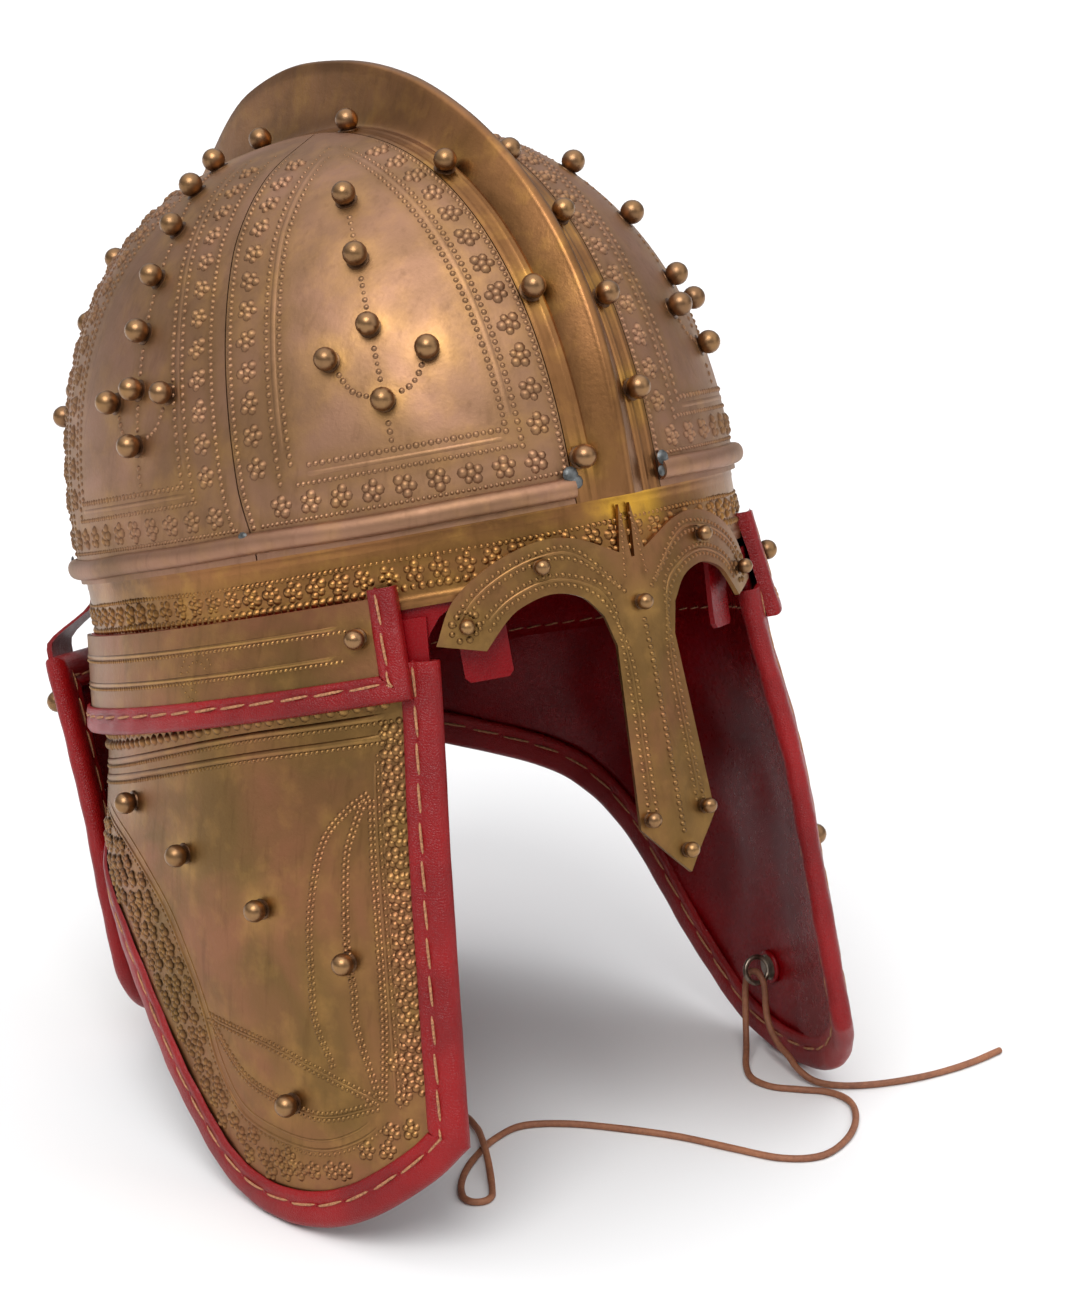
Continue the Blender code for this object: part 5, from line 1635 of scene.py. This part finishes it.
def buildCheeks(threads, studs):
    lower = cheekLower(0.0024)
    for side, hand in ((-1, "right"), (1, "left")):
        def place(along, up, w, side=side):
            return wrap(side * np.asarray(along), up, cheekBase(along, up) + w)

        level = cheek["lining"] + gap

        def softLining(along, up, w, place=place):
            # The inner side of the lining swells and creases a little
            along, up = np.asarray(along), np.asarray(up)
            swell = 0.0011 * np.sin(along * 62 + 3.1 * np.sin(up * 31)) * np.sin(up * 24 + 1.0)
            swell += 0.0006 * np.sin(along * 140 + up * 55)
            slack = 1 - w / cheek["lining"]
            return place(along, up, w - slack * np.maximum(swell, -0.0004) * smooth((-0.05 - up) / 0.03))

        def onLining(along, up, w, place=place, level=level):
            dents = 0.0004 * np.sin(np.asarray(along) * 75 + 2) * np.sin(np.asarray(up) * 60)
            return place(along, up, level + w + np.maximum(dents, 0))

        outline = [(cheek["frontTop"], cheek["hang"])] + lower + [(cheekBack, cheek["hang"])]
        bm = bendSheet(cutSheet(outline, 0.0040, cheek["lining"]), softLining)
        name = f"cheek_lining_{hand}"
        finishPiece(name, bm, "leather_dark_red", [name], sharp=50)

        plateLevel = cheek["plate"]
        heap, marks = Heap(shine=0.40), []
        line = lambda key: pathThrough(cheekLines[key], 0.0015)
        bead = lambda chart, step=0.0019, size=0.00062: marks.append(
            beadLine(heap, onLining, chart, step, size, level=plateLevel)
        )
        rib = lambda chart, width=0.0013, height=0.00045: ribLine(
            heap, onLining, chart, width, height, level=plateLevel
        )

        def shifted(chart, distance):
            ahead = unit(np.gradient(chart, axis=0))
            return chart + np.stack([-ahead[:, 1], ahead[:, 0]], 1) * distance

        for key in ("figureArc", "figureMiddle", "figureFront"):
            bead(shifted(line(key), 0.0007))
            bead(shifted(line(key), -0.0007))
        for key in ("leafTop", "leafFoot"):
            bead(shifted(line(key), 0.0011))
            bead(shifted(line(key), -0.0011))
            rib(line(key), 0.0011, 0.0004)
        rib(line("inner"))
        bead(shifted(line("inner"), 0.0015), 0.0020, 0.0005)
        rib(shifted(line("inner"), -0.0030), 0.0010, 0.0003)
        rib(frontLine(0.0205, -0.068, -0.177))
        rib(frontLine(0.0182, -0.068, -0.177), 0.0009, 0.00035)
        bead(frontLine(0.0194, -0.068, -0.177), 0.0021, 0.00045)
        for up, drop in ((-0.0577, 0.0065), (-0.0638, 0.0055)):
            along = np.linspace(0.083, 0.246, 90)
            fall = drop * smooth((along - 0.12) / 0.13)
            rib(np.stack([along, up - fall], 1), 0.0024, 0.00085)
            bead(np.stack([along, up - 0.0017 - fall], 1), 0.0019, 0.00058)
        along = np.linspace(0.083, 0.255, 60)
        fall = 0.0050 * smooth((along - 0.12) / 0.13)
        bead(np.stack([along, -0.0540 - fall], 1), 0.0046, 0.00145)
        bead(np.stack([along, -0.0508 - fall], 1), 0.0046, 0.00120)
        marks.append(rosetteLine(
            heap, onLining, frontLine(0.0150, -0.060, -0.172), 0.0064, 0.0021, 0.00120, plateLevel
        ))
        bead(frontLine(0.0119, -0.058, -0.174), 0.0033, 0.00095)
        bead(frontLine(0.0178, -0.058, -0.174), 0.0031, 0.00080)
        band = [(cheek["front"] + 0.012, -0.07)] + lower + [(cheekBack, -0.07)]
        hole = [(0.090, -0.05), (0.2600, -0.05)] + [tuple(p) for p in line("inner")]
        marks.append(fillRosettes(
            heap, onLining, band, hole, 0.0063, cheek["border"] + 0.0022, plateLevel, 0.0020, 0.00105
        ))
        chart = np.array(cheek["studs"])
        spots, ups = placeNormals(onLining, chart[:, 0], chart[:, 1], np.full(len(chart), plateLevel))
        studsAt(studs, spots, ups, studRadius * 0.95)
        pattern = [(cheek["frontTop"], cheek["plateTop"])] + lower + [(cheekBack, cheek["plateTop"])]
        bm = bendSheet(cutSheet(pattern, cheek["step"], cheek["plate"]), onLining)
        name = f"cheek_plate_{hand}"
        finishPiece(name, bm, "brass_plate", [name], studs=spots, relief=np.concatenate(marks))
        heap.finish(name + "_relief", "brass_plate", "brass")

        top = cheek["bindingTop"]
        foot = np.array(lower[0])
        start = np.array([float(cheekFrontEdge(top)), top])
        down = [tuple(start + (foot - start) * s) for s in np.linspace(0, 1, 56)[:-1]]
        buildBinding(
            f"cheek_binding_{hand}", down + lower, place, cheek["border"], 0.0, level + cheek["plate"], True,
            threads=threads,
        )


threads, plateStuds = Heap(), Heap()
buildPanels(threads, plateStuds)
print("side panels ready")
buildCheeks(threads, plateStuds)
print("cheek guards ready")

# Neck guard and its straps

neck = {
    "halfSpan": 0.077, "top": -0.027, "depth": 0.131, "shift": 0.015, "standOff": 0.0072, "spread": 0.0042,
    "cornerFlare": 0.0025, "footFlare": 0.0020, "border": 0.0105, "step": 0.0038,
    "edge": (
        (1.00, 0.02), (0.99, 0.25), (0.985, 0.52), (0.965, 0.70), (0.88, 0.86), (0.70, 0.96),
        (0.40, 1.00), (0.00, 1.000),
    ),
}
strap = {
    "width": 0.015, "wall": 0.0018, "gap": 0.0005, "along": 0.046, "top": -0.0062, "bottom": -0.056,
    "bend": -0.011, "studRise": 0.012,
}


def neckBase(sideways, up):
    share = np.abs(sideways) / neck["halfSpan"]
    down = (neck["top"] - up) / neck["depth"]
    corner = neck["cornerFlare"] * share ** 4 * (1 - smooth(down / 0.45))
    foot = neck["footFlare"] * smooth((down - 0.6) / 0.4)
    return neck["standOff"] + neck["spread"] * share ** 2 + corner + foot


def neckPlace(sideways, up, w):
    sideways, up = np.asarray(sideways, float), np.asarray(up, float)
    return wrap(halfRing + neck["shift"] - sideways, up, neckBase(sideways, up) + w)


def buildNeckGuard(threads, studs):
    lining, plate = cheek["lining"], cheek["plate"]
    level = lining + gap

    def softLining(sideways, up, w):
        sideways, up = np.asarray(sideways), np.asarray(up)
        swell = 0.0010 * np.sin(sideways * 55 + 2.5 * np.sin(up * 33)) * np.sin(up * 26 + 0.5)
        slack = 1 - w / lining
        return neckPlace(sideways, up, w - slack * np.maximum(swell, -0.0004))

    def onLining(sideways, up, w):
        return neckPlace(sideways, up, level + w)

    right = [(neck["halfSpan"] * a, neck["top"] - neck["depth"] * d) for a, d in neck["edge"]]
    lower = [tuple(p) for p in pathThrough(right, 0.0026)]
    outline = (lower + [(-u, v) for u, v in lower[-2::-1]])[::-1]
    bm = bendSheet(cutSheet(outline, 0.0042, lining), softLining)
    finishPiece("neck_lining", bm, "leather_dark_red", ["neck_lining"], sharp=50)
    heap, marks = Heap(), []
    inner = np.array([
        (0.056, -0.050), (0.056, -0.100), (0.052, -0.120), (0.038, -0.133), (0.0, -0.1385),
        (-0.038, -0.133), (-0.052, -0.120), (-0.056, -0.100), (-0.056, -0.050),
    ])
    frameLine = pathThrough(inner, 0.0015)
    for shift in (0.0, 0.0040):
        ahead = unit(np.gradient(frameLine, axis=0))
        moved = frameLine + np.stack([ahead[:, 1], -ahead[:, 0]], 1) * shift
        ribLine(heap, onLining, moved, 0.0014, 0.00045, level=plate)
        marks.append(beadLine(heap, onLining, moved + np.array([0, 0.0013]), 0.0020, 0.0005, level=plate))
    for up in (-0.043, -0.049):
        line = np.stack([np.linspace(-0.062, 0.062, 90), np.full(90, up)], 1)
        ribLine(heap, onLining, line, 0.0016, 0.0005, level=plate)
        marks.append(beadLine(heap, onLining, line + np.array([0, -0.0014]), 0.0020, 0.0005, level=plate))
    marks.append(fillRosettes(
        heap, onLining, outline, [tuple(p) for p in inner], 0.0076, neck["border"] + 0.0028, plate,
        0.0019, 0.0008,
    ))
    for flip in (-1, 1):
        corners = [(0.0, -0.058), (flip * 0.022, -0.080), (flip * 0.026, -0.102), (0.0, -0.128)]
        leaf = pathThrough(corners, 0.0015)
        for shift in (0.0, 0.0016):
            moved = leaf + np.array([flip * shift, 0])
            marks.append(beadLine(heap, onLining, moved, 0.0019, 0.0006, level=plate))
    chart = np.array([(0, -0.066), (0, -0.093), (0, -0.117), (0.040, -0.088), (-0.040, -0.088)])
    spots, ups = placeNormals(onLining, chart[:, 0], chart[:, 1], np.full(len(chart), plate))
    studsAt(studs, spots, ups, studRadius * 0.95)
    bm = bendSheet(cutSheet(outline, neck["step"], plate), onLining)
    finishPiece(
        "neck_plate", bm, "brass_plate", ["neck_plate"], studs=spots, relief=np.concatenate(marks)
    )
    heap.finish("neck_plate_relief", "brass_plate", "brass")
    start, end = np.array(outline[-1]), np.array(outline[0])
    topEdge = [tuple(start + (end - start) * s) for s in np.linspace(0, 1, 58)[1:-1]]
    buildBinding(
        "neck_binding", outline + topEdge, neckPlace, neck["border"], 0.0, level + plate, True,
        closed=True, threads=threads,
    )


def buildStraps(threads):
    overGuard = cheek["lining"] + 2 * gap + cheek["plate"] + bindingStyle["slack"] + bindingStyle["wall"]
    seatUp = neck["top"] + 2 * gap + bindingStyle["wall"]
    for side, hand in ((-1, "right"), (1, "left")):
        def place(sideways, up, w, side=side):
            middle = side * strap["along"] - neck["shift"]
            across = middle + np.asarray(sideways, float)
            onGuard = neckBase(across, np.minimum(up, neck["top"])) + overGuard
            rise = smooth((strap["bend"] - up) / (strap["bend"] - seatUp))
            base = spaced(rimOuter + strap["gap"], onGuard, rise)
            return wrap(halfRing + neck["shift"] - across, up, base + w)

        half, corner = strap["width"] / 2, 0.0030
        outline = [
            (-half, strap["bottom"] + corner), (-half + corner, strap["bottom"]),
            (half - corner, strap["bottom"]), (half, strap["bottom"] + corner),
            (half, strap["top"]), (-half, strap["top"]),
        ]
        bm = bendSheet(cutSheet(outline, 0.0022, strap["wall"]), place)
        name = f"neck_strap_{hand}"
        finishPiece(name, bm, "leather_red", [name], sharp=50)
        studUp = strap["bottom"] + strap["studRise"]
        spot, way = placeNormals(place, *(np.array([n]) for n in (0.0, studUp, strap["wall"])))
        own = Heap()
        studsAt(own, spot, way, studRadius)
        own.finish(f"neck_strap_stud_{hand}_ball", "brass_stud", "brass", [f"neck_strap_stud_{hand}"])
        for edge in (-half + 0.0022, half - 0.0022):
            heights = np.linspace(strap["top"] - 0.003, strap["bottom"] + 0.004, 40)
            spots, ways = placeNormals(place, np.full(40, edge), heights, np.full(40, strap["wall"]))
            stitchRow(threads, spots, ways, pitch=0.0062, radius=0.00034, slant=0.0)


buildNeckGuard(threads, plateStuds)
buildStraps(threads)
plateStuds.finish("plate_studs", "brass_stud", "brass")
print("neck guard ready")

# Hanging tabs with their eyelets, and tie rings

tab = {
    "width": 0.016, "top": -0.014, "bottom": -0.0525, "chamfer": 0.0016, "along": 0.052, "gap": 0.0007,
    "eyeletAt": -0.0450, "eyelet": 0.0032,
}
tie = {
    "along": 0.159, "aboveFoot": 0.033, "base": 0.0046, "baseHeight": 0.0011, "ring": 0.0045, "wire": 0.0009,
    "gap": 0.0006,
}


def torus(radius, wire, around, sides):
    bm = bmesh.new()
    corners = []
    for k in range(sides):
        a = 2 * math.pi * k / sides
        corners.append(bm.verts.new((radius + wire * math.cos(a), 0, wire * math.sin(a))))
    edges = [bm.edges.new(pair) for pair in zip(corners, corners[1:] + corners[:1])]
    bmesh.ops.spin(
        bm, geom=corners + edges, cent=(0, 0, 0), axis=(0, 0, 1), angle=2 * math.pi, steps=around,
        use_merge=True,
    )
    return template(bm)


def buildTabs():
    eyelets = Heap()
    ringShape = torus(tab["eyelet"] * 0.78, tab["eyelet"] * 0.26, 20, 8)
    cupShape = turned(((tab["eyelet"] * 0.70, 0.0002), (tab["eyelet"] * 0.4, 0.0001), (0.0, 0.00012)), 16)
    for side, hand in ((-1, "right"), (1, "left")):
        base = sweatInner - tab["gap"] - cheek["lining"]

        def place(along, up, w, side=side, base=base):
            curl = 0.0012 * smooth((-0.030 - np.asarray(up)) / 0.02)
            return wrap(side * np.asarray(along), up, base + w - curl)

        half, middle = tab["width"] / 2, tab["along"]
        low, chamfer = tab["bottom"], tab["chamfer"]
        outline = [
            (middle - half, tab["top"]), (middle - half, low + chamfer), (middle - half + chamfer, low),
            (middle + half - chamfer, low), (middle + half, low + chamfer), (middle + half, tab["top"]),
        ]
        bm = bendSheet(cutSheet(outline, 0.0025, cheek["lining"]), place)
        name = f"hanging_tab_{hand}"
        finishPiece(name, bm, "leather_dark_red", [name])
        spot = place(middle, tab["eyeletAt"], 0.0)
        way = spot - place(middle, tab["eyeletAt"], mm)
        eyelets.scatter(ringShape, spot, way, np.array([[0.0, 0.0, 1.0]]), [1.0])
        eyelets.scatter(cupShape, spot, way, np.array([[0.0, 0.0, 1.0]]), [1.0])
    eyelets.finish("tab_eyelets", "dark_eyelet", "brass")


def tieFrame(side):
    down = cheek["plateTop"] - cheek["depth"] + tie["aboveFoot"]

    def at(along, up):
        return wrap(side * along, up, cheekBase(np.array([along]), np.array([up])) - tie["gap"])[0]

    spot = at(tie["along"], down)
    ahead, below = at(tie["along"] + mm, down) - spot, at(tie["along"], down - mm) - spot
    normal = unit(np.cross(ahead, below))
    if normal @ np.array([spot[0], spot[1], 0]) > 0:
        normal = -normal
    up = -unit(below)
    return spot, np.cross(up, normal), up, normal


def buildTieRings():
    washer = turned(((0.0, 0.0), (tie["base"], 0.0), (tie["base"] * 0.96, tie["baseHeight"] * 0.7),
                     (tie["base"] * 0.72, tie["baseHeight"]), (0.0, tie["baseHeight"] * 0.8)), 22)
    ringShape = torus(tie["ring"], tie["wire"], 28, 10)
    pucker = torus(tie["base"] * 1.10, 0.0009, 22, 8)
    folds = Heap()
    for side, hand in ((-1, "right"), (1, "left")):
        spot, aside, up, normal = tieFrame(side)
        heap = Heap()
        heap.scatter(washer, spot[None], normal[None], up[None], [1.0])
        middle = spot + normal * (tie["ring"] + tie["baseHeight"] / 2)
        heap.scatter(ringShape, middle[None], aside[None], up[None], [1.0])
        heap.finish(f"tie_ring_{hand}_wire", "dark_eyelet", "brass_golden", [f"tie_ring_{hand}"])
        folds.scatter(pucker, spot[None], normal[None], up[None], [1.0])
    folds.finish("tie_puckers", "leather_dark_red", "leather_dark_red")


buildTabs()
buildTieRings()
threads.finish("binding_stitches", "thread", "leather_red")
# The painted shade of the stitch holes
holes.finish("stitch_hole_shades", "leather_dark_red", "leather_red")
print("tabs, tie rings and stitches ready")

# Lace

lace = {
    "diameter": 0.0023, "length": 0.607, "step": 0.0013, "resolution": 3, "uneven": 0.035,
    "knotUnit": 0.00108,
}
# Its way: from its knot at the right ring down to the floor, through its small loop and the long bend
# between the guards, up through the left ring, and down again to its free end
laceRoute = (
    (-0.0967, -0.0637, 0.0306), (-0.0972, -0.0600, 0.0294), (-0.0973, -0.0562, 0.0266),
    (-0.0964, -0.0526, 0.0215), (-0.0940, -0.0486, 0.0135), (-0.0895, -0.0444, 0.0062),
    (-0.0810, -0.0404, 0.0019), (-0.0660, -0.0370, 0.0012), (-0.0470, -0.0352, 0.0012),
    (-0.0290, -0.0372, 0.0012), (-0.0168, -0.0468, 0.0012), (-0.0194, -0.0600, 0.0024),
    (-0.0258, -0.0730, 0.0039), (-0.0316, -0.0840, 0.0032), (-0.0364, -0.0924, 0.0018),
    (-0.0400, -0.0982, 0.0012), (-0.0432, -0.1024, 0.0012), (-0.0466, -0.1040, 0.0012),
    (-0.0499, -0.1028, 0.0012), (-0.0512, -0.0996, 0.0012), (-0.0500, -0.0956, 0.0012),
    (-0.0460, -0.0896, 0.0012), (-0.0390, -0.0824, 0.0012), (-0.0300, -0.0756, 0.0012),
    (-0.0180, -0.0690, 0.0012), (-0.0050, -0.0664, 0.0012), (0.0080, -0.0740, 0.0012),
    (0.0200, -0.0874, 0.0012), (0.0316, -0.1034, 0.0012), (0.0402, -0.1204, 0.0012),
    (0.0486, -0.1356, 0.0012), (0.0600, -0.1420, 0.0012), (0.0740, -0.1378, 0.0012),
    (0.0864, -0.1284, 0.0012), (0.0944, -0.1166, 0.0012), (0.0938, -0.1064, 0.0012),
    (0.0872, -0.0988, 0.0012), (0.0810, -0.0914, 0.0012), (0.0798, -0.0826, 0.0012),
    (0.0840, -0.0740, 0.0015), (0.0902, -0.0664, 0.0044), (0.0944, -0.0608, 0.0106),
    (0.0962, -0.0582, 0.0176), (0.0967, -0.0576, 0.0230), (0.0968, -0.0590, 0.0276),
    (0.0968, -0.0628, 0.0296), (0.0968, -0.0666, 0.0276), (0.0968, -0.0680, 0.0230),
    (0.0965, -0.0690, 0.0178), (0.0958, -0.0720, 0.0124), (0.0948, -0.0780, 0.0084),
    (0.0938, -0.0850, 0.0064), (0.0928, -0.0914, 0.0042), (0.0946, -0.0980, 0.0019),
    (0.1000, -0.1044, 0.0013), (0.1096, -0.1102, 0.0012), (0.1230, -0.1146, 0.0012),
    (0.1366, -0.1166, 0.0012), (0.1504, -0.1166, 0.0012), (0.1636, -0.1150, 0.0012),
)


def buildLace():
    dense = pathThrough(laceRoute, lace["step"])
    dense[:, 2] = np.maximum(dense[:, 2], lace["diameter"] / 2 + gap / 10)
    curve = bpy.data.curves.new("lace_cord", "CURVE")
    curve.dimensions = "3D"
    curve.bevel_depth = lace["diameter"] / 2
    curve.bevel_resolution = lace["resolution"]
    curve.use_fill_caps = True
    spline = curve.splines.new("POLY")
    spline.points.add(len(dense) - 1)
    for k, (point, spot) in enumerate(zip(spline.points, dense.tolist())):
        point.co = (*spot, 1)
        point.radius = 1 + lace["uneven"] * math.sin(k * 0.37) * math.sin(k * 0.11)
    curve.materials.append(finishes["lace_brown"])
    made = bpy.data.objects.new("lace_cord", curve)
    bpy.context.scene.collection.objects.link(made)
    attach(made, "root")
    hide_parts("lace")

    low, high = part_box("lace_knot")
    middle = np.array((low + high) / 2)
    t = np.linspace(0, 2 * math.pi, 72, endpoint=False)
    size = lace["knotUnit"]
    bends = [np.sin(t) + 2 * np.sin(2 * t), np.cos(t) - 2 * np.cos(2 * t), -1.15 * np.sin(3 * t)]
    bends = np.stack(bends, 1) * size
    ahead = unit(np.roll(bends, -1, axis=0) - np.roll(bends, 1, axis=0))
    side = unit(np.cross(ahead, np.array([[0, 0, 1.0]])))
    over = np.cross(side, ahead)
    angles = np.linspace(0, 2 * math.pi, 10, endpoint=False)
    radius = lace["diameter"] / 2
    tube = bends[:, None] + side[:, None] * (np.cos(angles) * radius)[None, :, None]
    tube = tube + over[:, None] * (np.sin(angles) * radius)[None, :, None]
    ringAxis = leanTurn @ tieFrame(-1)[1]
    turnTo = np.array(Vector(ringAxis).to_track_quat("Z", "Y").to_matrix())
    bm = sweepGrid(tube @ turnTo.T + middle, closedPath=True)
    bmesh.ops.recalc_face_normals(bm, faces=bm.faces[:])
    mesh = bpy.data.meshes.new("lace_stopper_knot")
    bm.to_mesh(mesh)
    bm.free()
    knot = dress(mesh, "lace_stopper_knot", "lace_brown", ["lace_knot"], 60)
    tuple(laceRoute[0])


buildLace()
print("lace ready")
